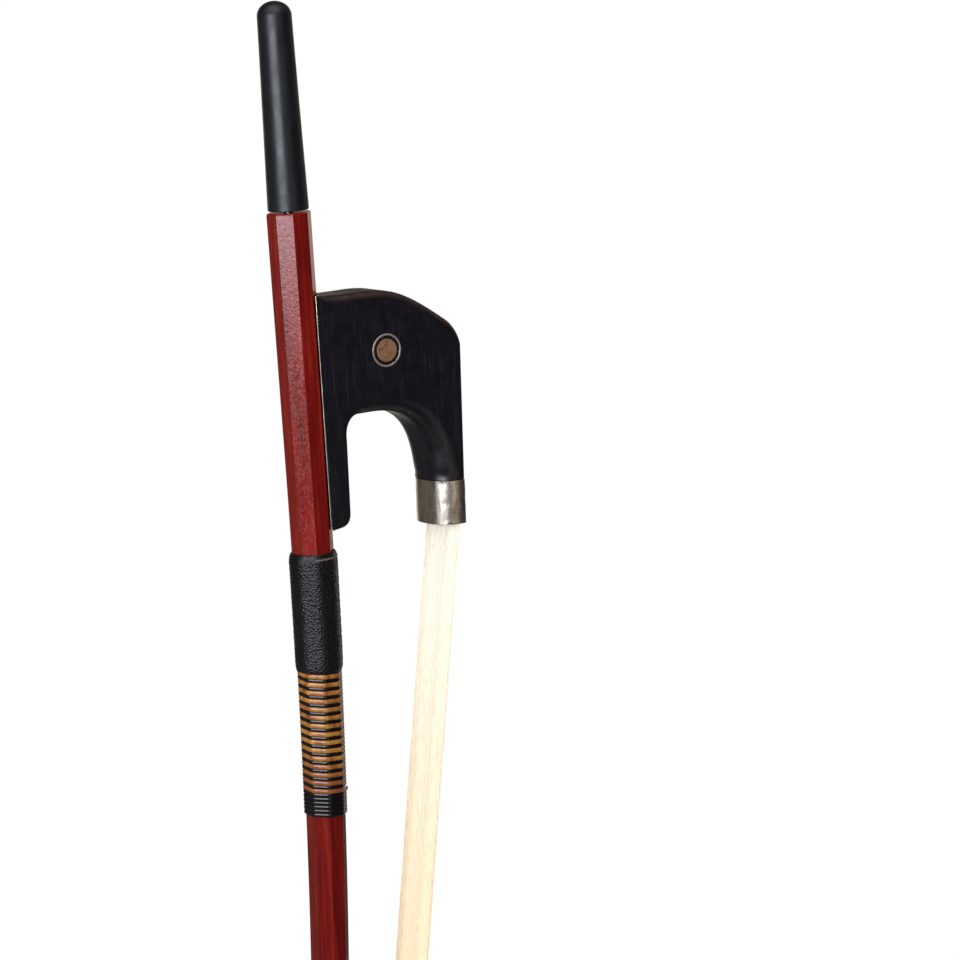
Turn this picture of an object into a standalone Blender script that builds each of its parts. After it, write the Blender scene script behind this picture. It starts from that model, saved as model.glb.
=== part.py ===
"""Double bass bow, underhand model, lying on its side. Metres, +Z up.

Bow coordinates: X along the handle from the button (negative) to the head, with zero at the stick's butt;
Y from the stick to the hair, with zero on the handle's axis; Z across the bow, with zero in its middle plane.
Every piece hangs on one empty, which stands the finished bow with the middle of its footprint at the origin.
"""
import math

import bmesh
import bpy
from mathutils import Matrix, Vector
from mathutils.geometry import interpolate_bezier

# Clearances
GLUE_GAP = 0.0002          # between pieces that are glued, pressed or screwed together
RUN_GAP = 0.0003           # between pieces that slide or turn on each other
WRAP_GAP = 0.00015         # under the wound strips
CUT_MARGIN = 0.002         # how far a cutter runs past the surface that it opens

# Stick: octagonal, straight under the frog, then cambered away from the hair
BUTT_WIDTH = 0.0125        # across flats at the butt
HANDLE_WIDTH = 0.01206     # across flats where the handle ends
GRIP_WIDTH = 0.0109        # across flats past the grip
NECK_WIDTH = 0.0086        # across flats where the head starts
HANDLE_END = 0.100
GRIP_END = 0.260
HEAD_START = 0.640
CAMBER_START = 0.080
CAMBER_RADIUS = 2.5
CAMBER_STATIONS = 15
BUTT_BEVEL = 0.0005

# Head, in its own directions: along the stick, out towards the hair, and across
HEAD_DEPTH = 0.0182        # from the stick's axis to the wood under the tip plate
HEAD_HALF_WIDTH = 0.0063
HEAD_BACK = 0.020          # length of the straight back before it turns down to the nose
HEAD_NOSE = 0.0416
HEAD_HEEL = 0.0116         # where the plate starts, behind the mortise
HEAD_CHAMFER = 0.80        # width of the rear face as a share of the head's width
RIDGE_SHARE = 0.13         # width of the front ridge as a share of the head's width
LINER_THICKNESS = 0.0008
PLATE_THICKNESS = 0.0016
HEAD_MORTISE_START = 0.0150
HEAD_MORTISE_LENGTH = 0.0085
HEAD_MORTISE_DEPTH = 0.0080
HEAD_MORTISE_HALF_WIDTH = 0.0042

# Screw and button
SCREW_RADIUS = 0.0015
SCREW_END = 0.0720
SCREW_PILOT_RADIUS = 0.0010
SCREW_PILOT_LENGTH = 0.0090
TANG_RADIUS = 0.0013
TANG_LENGTH = 0.0400
BUTTON_LENGTH = 0.0618
BUTTON_RADIUS = 0.0062     # at the stick
BUTTON_TIP_RADIUS = 0.00518
BUTTON_DOME = 0.0044       # depth of its rounded end
BUTTON_EDGE = 0.0003
DOME_STEPS = 7
ROUND_STEPS = 32

# Frog
HEEL = 0.0254              # back of the frog at the stick
TONGUE_END = 0.0970        # front of the frog at the stick
FROG_TOP = 0.0033          # upper edge of the frog's walls, above the channel
FROG_HALF_WIDTH = 0.00675  # at the stick
FROG_FLARE = 0.058         # growth of the half width per length towards the hair
FACE_START = Vector((0.0468, 0.05357))
FACE_SLOPE = -0.0386       # fall of the frog's outer face towards the ferrule
THROAT_TOP = 0.0634
TONGUE_DEPTH = 0.0110      # from the handle's axis to the outer side of the tongue
LIMB_DEPTH = 0.0096        # of the limb at the ferrule, from the outer face to the throat
EDGE_ROUND = 0.0013
HEEL_ROUND = 0.0026
HIP_ROUND = 0.0030          # where the heel turns over to the outer face
THROAT_ROUND = 0.0040
ROUND_RINGS = 4

# Ferrule
FERRULE_START = 0.0887
FERRULE_LENGTH = 0.0137
FERRULE_HALF_WIDTH = 0.0094
FERRULE_WALL = 0.0006
FERRULE_CORNER = 0.0009
NECK_LENGTH = 0.0118

# Lining of the channel, its screws, and the eyelet
LINING = 0.0005
LINING_SCREWS = (0.0315, 0.0880)
LINING_SCREW_RADIUS = 0.0007
LINING_SCREW_HEAD = 0.0012
LINING_SCREW_LENGTH = 0.0038
EYELET = 0.0470
EYELET_LENGTH = 0.0060
EYELET_HALF_WIDTH = 0.0021
EYELET_FLOOR = 0.0010      # brass under the screw
EYELET_SHANK_RADIUS = 0.0017
EYELET_SHANK_END = 0.0150
TRAVEL_TIGHT = 0.006       # towards the button
TRAVEL_LOOSE = 0.002       # towards the head
SLOT_SPARE = 0.0015

# Slide, mortise, plug and wedge of the frog
SLIDE_START = 0.0540
SLIDE_HALF_WIDTH = 0.0046
DOVETAIL = 0.0005
PEARL_THICKNESS = 0.0009
BACKING_THICKNESS = 0.0008
SLIDE_UNDER_FERRULE = 0.0028
FROG_MORTISE_START = 0.0640
FROG_MORTISE_LENGTH = 0.0100
FROG_MORTISE_DEPTH = 0.0100
FROG_MORTISE_HALF_WIDTH = 0.0049
KNOT_RADIUS = 0.0018
WEDGE_THICKNESS = 0.0017

# Eyes, one on each side
EYE_PLACE = Vector((0.0448, 0.0266))
EYE_RING_RADIUS = 0.0051
EYE_RING_WIDTH = 0.0006
EYE_PEARL_RADIUS = 0.0035
EYE_INLAY = 0.0010
EYE_PROUD = 0.00004

# Hair
HAIR_THICKNESS = 0.0009
HAIR_HALF_FROG = 0.0087
HAIR_HALF_HEAD = 0.0057
HAIR_HALF_MORTISE = 0.0040
HAIR_DEPTH = 0.0026        # from the frog's outer face to the middle of the hair under the slide
HAIR_MOUTH_DEPTH = 0.0023
HAIR_STATIONS = 8

# Thumb leather and winding
LEATHER_START = 0.1035
LEATHER_END = 0.1403
LEATHER_THICKNESS = 0.00115
LEATHER_ROUND = 0.0026
LEATHER_EDGE = 0.0007
LEATHER_STATIONS = 5
STRIP_WIDTH = 0.00080
STRIP_THICKNESS = 0.00040
STRIP_PITCH = 0.00257
CLOSE_PITCH = 0.00126
WIDE_TURNS = 14.6
CLOSE_TURNS = 6.3
TAN_STOPS_BEFORE = 0.9     # turns by which the tan strip ends before the close turns
WINDING_START = 0.1410

OCTAGON_SHARE = math.tan(math.pi / 8)
DIAGONAL = math.sqrt(2)


# Materials

def material(name, colour, roughness, metallic=0.0):
    """A Principled material of one colour."""
    mat = bpy.data.materials.new(name)
    mat.use_nodes = True
    shader = mat.node_tree.nodes["Principled BSDF"]
    shader.inputs["Base Color"].default_value = (*colour, 1.0)
    shader.inputs["Roughness"].default_value = roughness
    shader.inputs["Metallic"].default_value = metallic
    mat.diffuse_color = (*colour, 1.0)
    return mat


def make_materials():
    return {
        "brazilwood": material("brazilwood", (0.13, 0.013, 0.006), 0.32),
        "ebony": material("ebony", (0.008, 0.007, 0.009), 0.42),
        "polished_ebony": material("polished_ebony", (0.008, 0.010, 0.014), 0.28),
        "nickel_silver": material("nickel_silver", (0.55, 0.53, 0.48), 0.28, 1.0),
        "brass": material("brass", (0.70, 0.47, 0.18), 0.30, 1.0),
        "steel": material("steel", (0.50, 0.50, 0.52), 0.30, 1.0),
        "pearl": material("pearl", (0.42, 0.33, 0.25), 0.22),
        "bone": material("bone", (0.80, 0.74, 0.60), 0.35),
        "maple": material("maple", (0.62, 0.44, 0.25), 0.60),
        "horsehair": material("horsehair", (0.90, 0.84, 0.66), 0.55),
        "leather": material("leather", (0.010, 0.011, 0.016), 0.45),
        "tan_strip": material("tan_strip", (0.30, 0.15, 0.04), 0.30),
        "black_strip": material("black_strip", (0.010, 0.010, 0.014), 0.30),
    }


# Objects and cuts

def finish(name, bm, mat, root, smooth=False):
    """Turn a bmesh into the named object, faces out, with its material, on the bow's empty."""
    bmesh.ops.recalc_face_normals(bm, faces=bm.faces)
    mesh = bpy.data.meshes.new(name)
    bm.to_mesh(mesh)
    bm.free()
    if smooth:
        mesh.shade_smooth()
        mesh.set_sharp_from_angle(angle=math.radians(35))
    obj = bpy.data.objects.new(name, mesh)
    obj.parent = root
    bpy.context.collection.objects.link(obj)
    if mat is not None:
        mesh.materials.append(mat)
    return obj


def cutter(name, bm, root):
    """A hidden helper for a Boolean."""
    obj = finish(name, bm, None, root)
    obj.hide_render = True
    obj.display_type = 'WIRE'
    return obj


def cut(obj, tool, operation='DIFFERENCE'):
    mod = obj.modifiers.new(tool.name, 'BOOLEAN')
    mod.object = tool
    mod.operation = operation
    mod.solver = 'EXACT'


def loft(rings, ring_is_loop=False):
    """Skin rings of equal count; the first and last get caps, or join when the rings form a loop."""
    bm = bmesh.new()
    rows = [[bm.verts.new(p) for p in ring] for ring in rings]
    pairs = list(zip(rows, rows[1:]))
    if ring_is_loop:
        pairs.append((rows[-1], rows[0]))
    else:
        bm.faces.new(rows[0])
        bm.faces.new(rows[-1])
    for low, high in pairs:
        for i in range(len(low)):
            j = (i + 1) % len(low)
            bm.faces.new((low[i], low[j], high[j], high[i]))
    return bm


def box(start, end):
    """A block between two opposite corners."""
    size = end - start
    bm = bmesh.new()
    bmesh.ops.create_cube(bm, size=1.0, matrix=Matrix.Translation((start + end) / 2) @ Matrix.Diagonal((*size, 1.0)))
    return bm


def turned(profile, steps=ROUND_STEPS):
    """Turn (x, radius) points about X; the first and last radius are zero."""
    bm = bmesh.new()
    first = bm.verts.new((profile[0][0], 0, 0))
    last = bm.verts.new((profile[-1][0], 0, 0))
    rows = []
    for x, radius in profile[1:-1]:
        turns = [2 * math.pi * i / steps for i in range(steps)]
        rows.append([bm.verts.new((x, radius * math.cos(t), radius * math.sin(t))) for t in turns])
    for i in range(steps):
        j = (i + 1) % steps
        bm.faces.new((first, rows[0][j], rows[0][i]))
        bm.faces.new((last, rows[-1][i], rows[-1][j]))
        for low, high in zip(rows, rows[1:]):
            bm.faces.new((low[i], low[j], high[j], high[i]))
    return bm


def rod(start, end, radius, steps=ROUND_STEPS):
    """A plain cylinder between two points."""
    axis = end - start
    bm = bmesh.new()
    turn = axis.to_track_quat('Z', 'Y').to_matrix().to_4x4()
    bmesh.ops.create_cone(bm, cap_ends=True, segments=steps, radius1=radius, radius2=radius,
                          depth=axis.length, matrix=Matrix.Translation((start + end) / 2) @ turn)
    return bm


def bezier(start, handle_a, handle_b, end, count):
    """Points on a cubic curve in the XY plane, without its last point."""
    points = interpolate_bezier(*[Vector(p).to_3d() for p in (start, handle_a, handle_b, end)], count + 1)
    return [p.to_2d() for p in points[:-1]]


# The stick's line

def blend(value, places):
    """Read a value between the (place, value) pairs that bracket it."""
    for (x0, y0), (x1, y1) in zip(places, places[1:]):
        if value <= x1:
            break
    return y0 + (y1 - y0) * (value - x0) / (x1 - x0)


def stick_width(x):
    return blend(x, ((0.0, BUTT_WIDTH), (HANDLE_END, HANDLE_WIDTH), (GRIP_END, GRIP_WIDTH), (HEAD_START, NECK_WIDTH)))


def stick_frame(x):
    """Origin on the stick's axis, with the directions along it and out towards the hair."""
    bent = max(x - CAMBER_START, 0.0)
    along = Vector((1.0, -bent / CAMBER_RADIUS, 0.0)).normalized()
    out = Vector((-along.y, along.x, 0.0))
    return Vector((x, -bent * bent / (2 * CAMBER_RADIUS), 0.0)), along, out


def put(frame, along, out, side):
    """A point given along, out from and across a frame."""
    origin, ahead, outward = frame
    return origin + ahead * along + outward * out + Vector((0, 0, side))


def octagon(frame, width):
    """Corners of the stick's section, from the back over the right side, and back over the left."""
    flat = width / 2
    corner = flat * OCTAGON_SHARE
    right = [(-flat, corner), (-corner, flat), (corner, flat), (flat, corner)]
    return [put(frame, 0, n, z) for n, z in right] + [put(frame, 0, n, -z) for n, z in reversed(right)]


def soft_octagon(frame, width, offset, radius, steps=2):
    """The stick's section moved out by an offset, with its corners rounded."""
    flat = width / 2 + offset - radius
    reach = flat / math.cos(math.pi / 8)
    points = []
    for k in range(8):
        corner = math.radians(22.5 + 45 * k)
        for i in range(steps + 1):
            turn = math.radians(45 * k + 45 * i / steps)
            n = reach * math.cos(corner) + radius * math.cos(turn)
            z = reach * math.sin(corner) + radius * math.sin(turn)
            points.append(put(frame, 0, n, z))
    return points


# Stick and head

HEAD_FRAME = stick_frame(HEAD_START)
LEVEL_SHARES = (0.03, 0.08, 0.17, 0.30, 0.48, 0.68, 0.86, 1.0)
PLAN_SHARES = (0.0, 0.12, 0.35, 0.55, 0.72, 0.86, 0.95, 1.0)
FULL_WIDTH_SHARE = 0.35    # share of the head's length before its sides close to the ridge


def read_curve(points, out):
    """Distance along the head where a curve of (along, out) points reaches a level."""
    return blend(out, [(p.y, p.x) for p in points])


def head_side(level, share):
    """Plan points (along, half width) of one level of the head; share is its place from belly to plate."""
    flat = NECK_WIDTH / 2
    ridge = bezier((HEAD_BACK, -flat), (0.031, -flat), (0.0355, 0.5 * HEAD_DEPTH), (HEAD_NOSE, HEAD_DEPTH), 24)
    ridge.append(Vector((HEAD_NOSE, HEAD_DEPTH)))
    rear = bezier((0.0, flat), (0.013, flat + 0.0005), (0.015, 0.66 * HEAD_DEPTH), (HEAD_HEEL, HEAD_DEPTH), 24)
    rear.append(Vector((HEAD_HEEL, HEAD_DEPTH)))
    front = read_curve(ridge, level)
    back = read_curve(rear, level) if share > 0 else 0.0
    belly = flat * OCTAGON_SHARE
    full = flat + (HEAD_HALF_WIDTH - flat) * max(share, 0.0) ** 0.7
    if level < -0.9 * flat:
        full = belly
    side = []
    for f in PLAN_SHARES:
        closing = max(f - FULL_WIDTH_SHARE, 0.0) / (1 - FULL_WIDTH_SHARE)
        half = full * (RIDGE_SHARE + (1 - RIDGE_SHARE) * (1 - closing ** 2.2))
        if share >= 0 and f == PLAN_SHARES[0]:
            half = belly + (HEAD_CHAMFER * full - belly) * min(share / 0.3, 1.0)
        if share == 0 and f == PLAN_SHARES[1]:
            half = 0.6 * full
        side.append((back + (front - back) * f, half))
    return side


def head_levels():
    """(level, share) from the stick's back down to the tip plate."""
    flat = NECK_WIDTH / 2
    corner = flat * OCTAGON_SHARE
    upper = [(-flat, -1.0), (-corner, -1.0), (corner, -1.0), (flat, 0.0)]
    return upper + [(flat + (HEAD_DEPTH - flat) * s, s) for s in LEVEL_SHARES]


def make_stick(mat, root):
    """Stick and head are one piece of wood: rings up to the head, then the head's levels skinned on."""
    bm = bmesh.new()
    stations = [(0.0, BUTT_WIDTH - 2 * BUTT_BEVEL), (BUTT_BEVEL, BUTT_WIDTH)]
    bend = [CAMBER_START + (HEAD_START - CAMBER_START) * i / CAMBER_STATIONS for i in range(CAMBER_STATIONS)]
    stations += [(x, stick_width(x)) for x in sorted([*bend, HANDLE_END, GRIP_END])]
    rows = [[bm.verts.new(p) for p in octagon(stick_frame(x), width)] for x, width in stations]

    right, left = [], []
    for level, share in head_levels():
        side = head_side(level, share)
        right.append([bm.verts.new(put(HEAD_FRAME, s, level, w)) for s, w in side])
        left.append([bm.verts.new(put(HEAD_FRAME, s, level, -w)) for s, w in side])
    rows.append([row[0] for row in right[:4]] + [row[0] for row in reversed(left[:4])])

    bm.faces.new(rows[0])
    for low, high in zip(rows, rows[1:]):
        for i in range(8):
            j = (i + 1) % 8
            bm.faces.new((low[i], low[j], high[j], high[i]))
    last = len(PLAN_SHARES) - 1
    for k in range(len(right) - 1):
        for rows_side in (right, left):
            for j in range(last):
                bm.faces.new((rows_side[k][j], rows_side[k][j + 1], rows_side[k + 1][j + 1], rows_side[k + 1][j]))
        bm.faces.new((right[k][last], left[k][last], left[k + 1][last], right[k + 1][last]))
        if k >= 3:
            bm.faces.new((right[k][0], left[k][0], left[k + 1][0], right[k + 1][0]))
    for k in (0, -1):
        for j in range(last):
            bm.faces.new((right[k][j], right[k][j + 1], left[k][j + 1], left[k][j]))
    stick = finish("stick", bm, mat, root)

    start = Vector((-CUT_MARGIN, 0, 0))
    end = Vector((SCREW_END + SLOT_SPARE, 0, 0))
    cut(stick, cutter("screw_bore", rod(start, end, SCREW_RADIUS + RUN_GAP), root))
    reach = EYELET_LENGTH / 2 + SLOT_SPARE
    half = EYELET_HALF_WIDTH + RUN_GAP
    low = Vector((EYELET - reach - TRAVEL_TIGHT, -(SCREW_RADIUS + RUN_GAP + EYELET_FLOOR + GLUE_GAP), -half))
    high = Vector((EYELET + reach + TRAVEL_LOOSE, BUTT_WIDTH / 2 + CUT_MARGIN, half))
    cut(stick, cutter("eyelet_slot", box(low, high), root))
    cut(stick, cutter("head_mortise", head_mortise_block(CUT_MARGIN), root))
    return stick


def head_block(start, end, bottom, top, half):
    """A block in the head's directions, from a depth in the wood out to a height."""
    rings = []
    for along in (start, end):
        corners = ((bottom, -half), (bottom, half), (top, half), (top, -half))
        rings.append([put(HEAD_FRAME, along, out, side) for out, side in corners])
    return loft(rings)


def head_mortise_block(above):
    end = HEAD_MORTISE_START + HEAD_MORTISE_LENGTH
    bottom = HEAD_DEPTH - HEAD_MORTISE_DEPTH
    return head_block(HEAD_MORTISE_START, end, bottom, PLATE_FACE + above, HEAD_MORTISE_HALF_WIDTH)


LINER_FACE = HEAD_DEPTH + GLUE_GAP + LINER_THICKNESS
PLATE_FACE = LINER_FACE + GLUE_GAP + PLATE_THICKNESS


def make_head_plate(name, mat, root, face, thickness):
    """A plate with the outline of the head's face and a hole for the hair."""
    side = head_side(HEAD_DEPTH, 1.0)
    outline = [(s, w) for s, w in side] + [(s, -w) for s, w in reversed(side)]
    rings = [[put(HEAD_FRAME, s, out, w) for s, w in outline] for out in (face - thickness, face)]
    plate = finish(name, loft(rings), mat, root)
    cut(plate, bpy.data.objects["head_mortise"])
    return plate


def make_knot(name, mat, root, centre, half):
    """The bound end of the hair: a short roll with rounded ends, across the bow."""
    steps = 4
    profile = [(-half, 0.0)]
    for i in range(1, steps + 1):
        turn = math.pi / 2 * i / steps
        profile.append((-half + KNOT_RADIUS * (1 - math.cos(turn)) * 0.6, KNOT_RADIUS * math.sin(turn)))
    profile += [(-x, r) for x, r in reversed(profile)]
    bm = turned(profile, 16)
    bmesh.ops.transform(bm, matrix=Matrix.Translation(centre) @ Matrix.Rotation(math.pi / 2, 4, 'Y'), verts=bm.verts)
    return finish(name, bm, mat, root, smooth=True)


HEAD_KNOT = (HEAD_MORTISE_START + KNOT_RADIUS + GLUE_GAP, HEAD_DEPTH - HEAD_MORTISE_DEPTH + KNOT_RADIUS + GLUE_GAP)
HEAD_HAIR_ALONG = HEAD_MORTISE_START + GLUE_GAP + HAIR_THICKNESS / 2


def make_head_plug(mat, root):
    """The wedge that fills the mortise in front of the rising hair and over the knot."""
    start = HEAD_HAIR_ALONG + HAIR_THICKNESS / 2 + GLUE_GAP
    end = HEAD_MORTISE_START + HEAD_MORTISE_LENGTH - GLUE_GAP
    bottom = HEAD_KNOT[1] + KNOT_RADIUS + GLUE_GAP
    half = HEAD_MORTISE_HALF_WIDTH - GLUE_GAP
    return finish("head_plug", head_block(start, end, bottom, PLATE_FACE, half), mat, root)


# Screw and button

def make_screw(mat, root):
    tip = SCREW_END - SCREW_PILOT_LENGTH
    bevel = SCREW_RADIUS - SCREW_PILOT_RADIUS
    start = -(GLUE_GAP + TANG_LENGTH)
    profile = [(start, 0.0), (start, TANG_RADIUS), (-RUN_GAP, TANG_RADIUS), (-RUN_GAP, SCREW_RADIUS),
               (tip, SCREW_RADIUS), (tip + bevel, SCREW_PILOT_RADIUS),
               (SCREW_END - bevel, SCREW_PILOT_RADIUS), (SCREW_END, SCREW_PILOT_RADIUS / 2), (SCREW_END, 0.0)]
    return finish("screw", turned(profile), mat, root, smooth=True)


def make_button(mat, root):
    """A long tapering button, rounded at its end, with a bore for the screw's tang."""
    front = -RUN_GAP - GLUE_GAP
    end = front - BUTTON_LENGTH
    dome_end = end + BUTTON_DOME
    profile = []
    for i in range(DOME_STEPS + 1):
        turn = math.pi / 2 * i / DOME_STEPS
        profile.append((dome_end - BUTTON_DOME * math.cos(turn), BUTTON_TIP_RADIUS * math.sin(turn)))
    for share in (0.33, 0.66):
        radius = BUTTON_TIP_RADIUS + (BUTTON_RADIUS - BUTTON_TIP_RADIUS) * share ** 1.15
        profile.append((dome_end + (front - BUTTON_EDGE - dome_end) * share, radius))
    profile += [(front - BUTTON_EDGE, BUTTON_RADIUS), (front, BUTTON_RADIUS - BUTTON_EDGE), (front, 0.0)]
    button = finish("button", turned(profile), mat, root, smooth=True)
    bore_end = Vector((-GLUE_GAP * 2 - TANG_LENGTH, 0, 0))
    bore = rod(Vector((CUT_MARGIN, 0, 0)), bore_end, TANG_RADIUS + GLUE_GAP)
    cut(button, cutter("tang_bore", bore, root))
    return button


# Frog

def frog_half_width(y):
    return FROG_HALF_WIDTH + FROG_FLARE * (y - FROG_TOP)


def face_point(x, depth, side=0.0):
    """A point under the frog's outer face, at a depth square to it."""
    slope = Vector((1.0, FACE_SLOPE)).normalized()
    y = FACE_START.y + FACE_SLOPE * (x - FACE_START.x)
    return Vector((x + slope.y * depth, y - slope.x * depth, side))


def frog_outline():
    """Outline points with the rounding at each: how far it reaches in, and how far down the side."""
    limb_end = FERRULE_START + NECK_LENGTH + 2 * CUT_MARGIN
    outer_end = face_point(limb_end, 0.0).to_2d()
    inner_end = face_point(limb_end, LIMB_DEPTH).to_2d()
    inner = face_point(FERRULE_START - 0.003, LIMB_DEPTH).to_2d()
    limb_in = LIMB_DEPTH - EDGE_ROUND - 0.0003
    limb_down = frog_half_width(inner.y) - 0.0003
    small = 0.0001
    points = []

    def add(group, start_round, end_round, power=1.0):
        for i, p in enumerate(group):
            t = (i / len(group)) ** power
            rounds = [a + (b - a) * t for a, b in zip(start_round, end_round)]
            points.append((p, *rounds))

    heel = (HEEL_ROUND, HEEL_ROUND)
    turned_over = (HIP_ROUND, HIP_ROUND)
    edge = (EDGE_ROUND, EDGE_ROUND)
    throat = (THROAT_ROUND, THROAT_ROUND)
    limb = (limb_in, limb_down)
    hip = Vector((0.0382, 0.0494))
    up_heel = Vector((HEEL - 0.0024, 0.0291))
    past_hip = hip + (hip - up_heel).normalized() * 0.0030
    before_face = FACE_START - Vector((1.0, FACE_SLOPE)) * 0.0029
    add([Vector((HEEL, FROG_TOP))], (small, small), (small, small))
    add(bezier((HEEL + 0.0005, 0.0070), (HEEL + 0.0020, 0.0276), up_heel, hip, 9), heel, turned_over)
    add(bezier(hip, past_hip, before_face, FACE_START, 7), turned_over, edge)
    add([FACE_START, outer_end], edge, edge)
    points.append((inner_end, EDGE_ROUND, EDGE_ROUND))
    points.append((inner, *limb))
    high = Vector((THROAT_TOP, 0.0207))
    add(bezier(inner, (0.0739, inner.y + 0.0002), (THROAT_TOP, 0.0391), high, 10)[1:], limb, throat, 0.5)
    low = Vector((THROAT_TOP, 0.0168))
    flat = Vector((0.0704, TONGUE_DEPTH))
    add([high], throat, throat)
    add(bezier(low, (THROAT_TOP, 0.0130), (0.0667, TONGUE_DEPTH + 0.0001), flat, 5), throat, edge)
    nose = Vector((TONGUE_END - 0.0046, TONGUE_DEPTH - 0.0005))
    add([flat], edge, edge)
    add(bezier(nose, nose + Vector((0.0026, -0.0001)), (TONGUE_END - 0.0003, 0.0095), (TONGUE_END - 0.0001, 0.0065), 5),
        edge, edge)
    add([Vector((TONGUE_END - 0.0001, 0.0065))], edge, edge)
    add([Vector((TONGUE_END, FROG_TOP))], (small, small), (small, small))
    return points


def inset_direction(before, here, after, reach_before, reach_after):
    """The step into the outline that keeps each neighbour edge at its own reach."""
    first = (here - before).normalized()
    second = (after - here).normalized()
    n1 = Vector((first.y, -first.x))
    n2 = Vector((second.y, -second.x))
    if first.angle(second, 0.0) < math.radians(35):
        return (n1 + n2).normalized() * (reach_before + reach_after) / 2
    det = n1.x * n2.y - n1.y * n2.x
    return Vector(((reach_before * n2.y - reach_after * n1.y) / det, (n1.x * reach_after - n2.x * reach_before) / det))


def make_frog_block():
    """The frog's outline with rounded edges: loops that step in and rise from the rim to each side face."""
    outline = frog_outline()
    count = len(outline)
    steps = []
    for i, (here, reach, _down) in enumerate(outline):
        before, after = outline[i - 1], outline[(i + 1) % count]
        steps.append(inset_direction(before[0], here, after[0], reach, reach))
    rows = []
    for side in (-1, 1):
        loops = []
        for ring in range(ROUND_RINGS + 1):
            turn = math.pi / 2 * ring / ROUND_RINGS
            loop = []
            for (here, _reach, down), step in zip(outline, steps):
                p = here + step * (1 - math.cos(turn))
                loop.append(Vector((*p, side * (frog_half_width(p.y) - down * (1 - math.sin(turn))))))
            loops.append(loop)
        rows += reversed(loops) if side < 0 else loops
    return loft(rows)


def d_half(depth, inset):
    """Half width of the ferrule's round side at a depth."""
    start = inset + FERRULE_CORNER
    rise = (depth - start) / (LIMB_DEPTH - inset - start)
    return (FERRULE_HALF_WIDTH - inset) * math.sqrt(1 - max(rise, 0.0) ** 2)


def d_section(x, inset, top_depth):
    """Points of the ferrule's section at a place: round towards the stick, flat at a depth under the hair's side."""
    start = inset + FERRULE_CORNER
    deep = LIMB_DEPTH - inset - start
    first = math.asin(max(top_depth - start, 0.0) / deep)
    points = []
    for i in range(17):
        turn = first + (math.pi - 2 * first) * i / 16
        points.append(face_point(x, start + deep * math.sin(turn), (FERRULE_HALF_WIDTH - inset) * math.cos(turn)))
    if top_depth < start:
        flat = FERRULE_HALF_WIDTH - inset - FERRULE_CORNER / 2
        points += [face_point(x, top_depth, -flat), face_point(x, top_depth, flat)]
    return points


def seat_section(x, offset, edge):
    """The stick's lower three facets moved out by an offset, from edge to edge."""
    reach = stick_width(x) / 2 + offset
    corner = reach * OCTAGON_SHARE
    rim = DIAGONAL * reach - edge
    return [Vector((x, edge, rim)), Vector((x, reach, corner)), Vector((x, reach, -corner)), Vector((x, edge, -rim))]


def lining_edge(x):
    """Where the lining's outer surface meets the frog's side."""
    return DIAGONAL * (stick_width(x) / 2 + RUN_GAP + LINING) - FROG_HALF_WIDTH


def side_frame(place, side):
    """Matrix that stands on the frog's side face, with +Z outward."""
    normal = Vector((0.0, -FROG_FLARE, side)).normalized()
    spot = Vector((place.x, place.y, side * frog_half_width(place.y)))
    return Matrix.Translation(spot) @ normal.to_track_quat('Z', 'Y').to_matrix().to_4x4()


def disc(frame, radius, low, high, hole=0.0, steps=ROUND_STEPS):
    """A disc or ring standing on a side face."""
    turns = [2 * math.pi * i / steps for i in range(steps)]

    def ring(r, z):
        return [frame @ Vector((r * math.cos(t), r * math.sin(t), z)) for t in turns]

    if hole:
        return loft([ring(radius, low), ring(radius, high), ring(hole, high), ring(hole, low)], ring_is_loop=True)
    return loft([ring(radius, low), ring(radius, high)])


def slide_section(x, top, bottom, gap):
    """The dovetail of the slide between two depths, or of its groove with a gap."""
    total = PEARL_THICKNESS + BACKING_THICKNESS + GLUE_GAP
    corners = []
    for depth, side in ((top, 1), (bottom, 1), (bottom, -1), (top, -1)):
        half = SLIDE_HALF_WIDTH + DOVETAIL * depth / total + gap
        corners.append(face_point(x, depth, side * half))
    return corners


SLIDE_DEPTH = PEARL_THICKNESS + BACKING_THICKNESS + 2 * GLUE_GAP
CHANNEL_DEPTH = HAIR_DEPTH + HAIR_THICKNESS / 2 + GLUE_GAP
NECK_TOP = CHANNEL_DEPTH + WEDGE_THICKNESS + GLUE_GAP
PAST_FERRULE = FERRULE_START + FERRULE_LENGTH + 0.010


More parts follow.
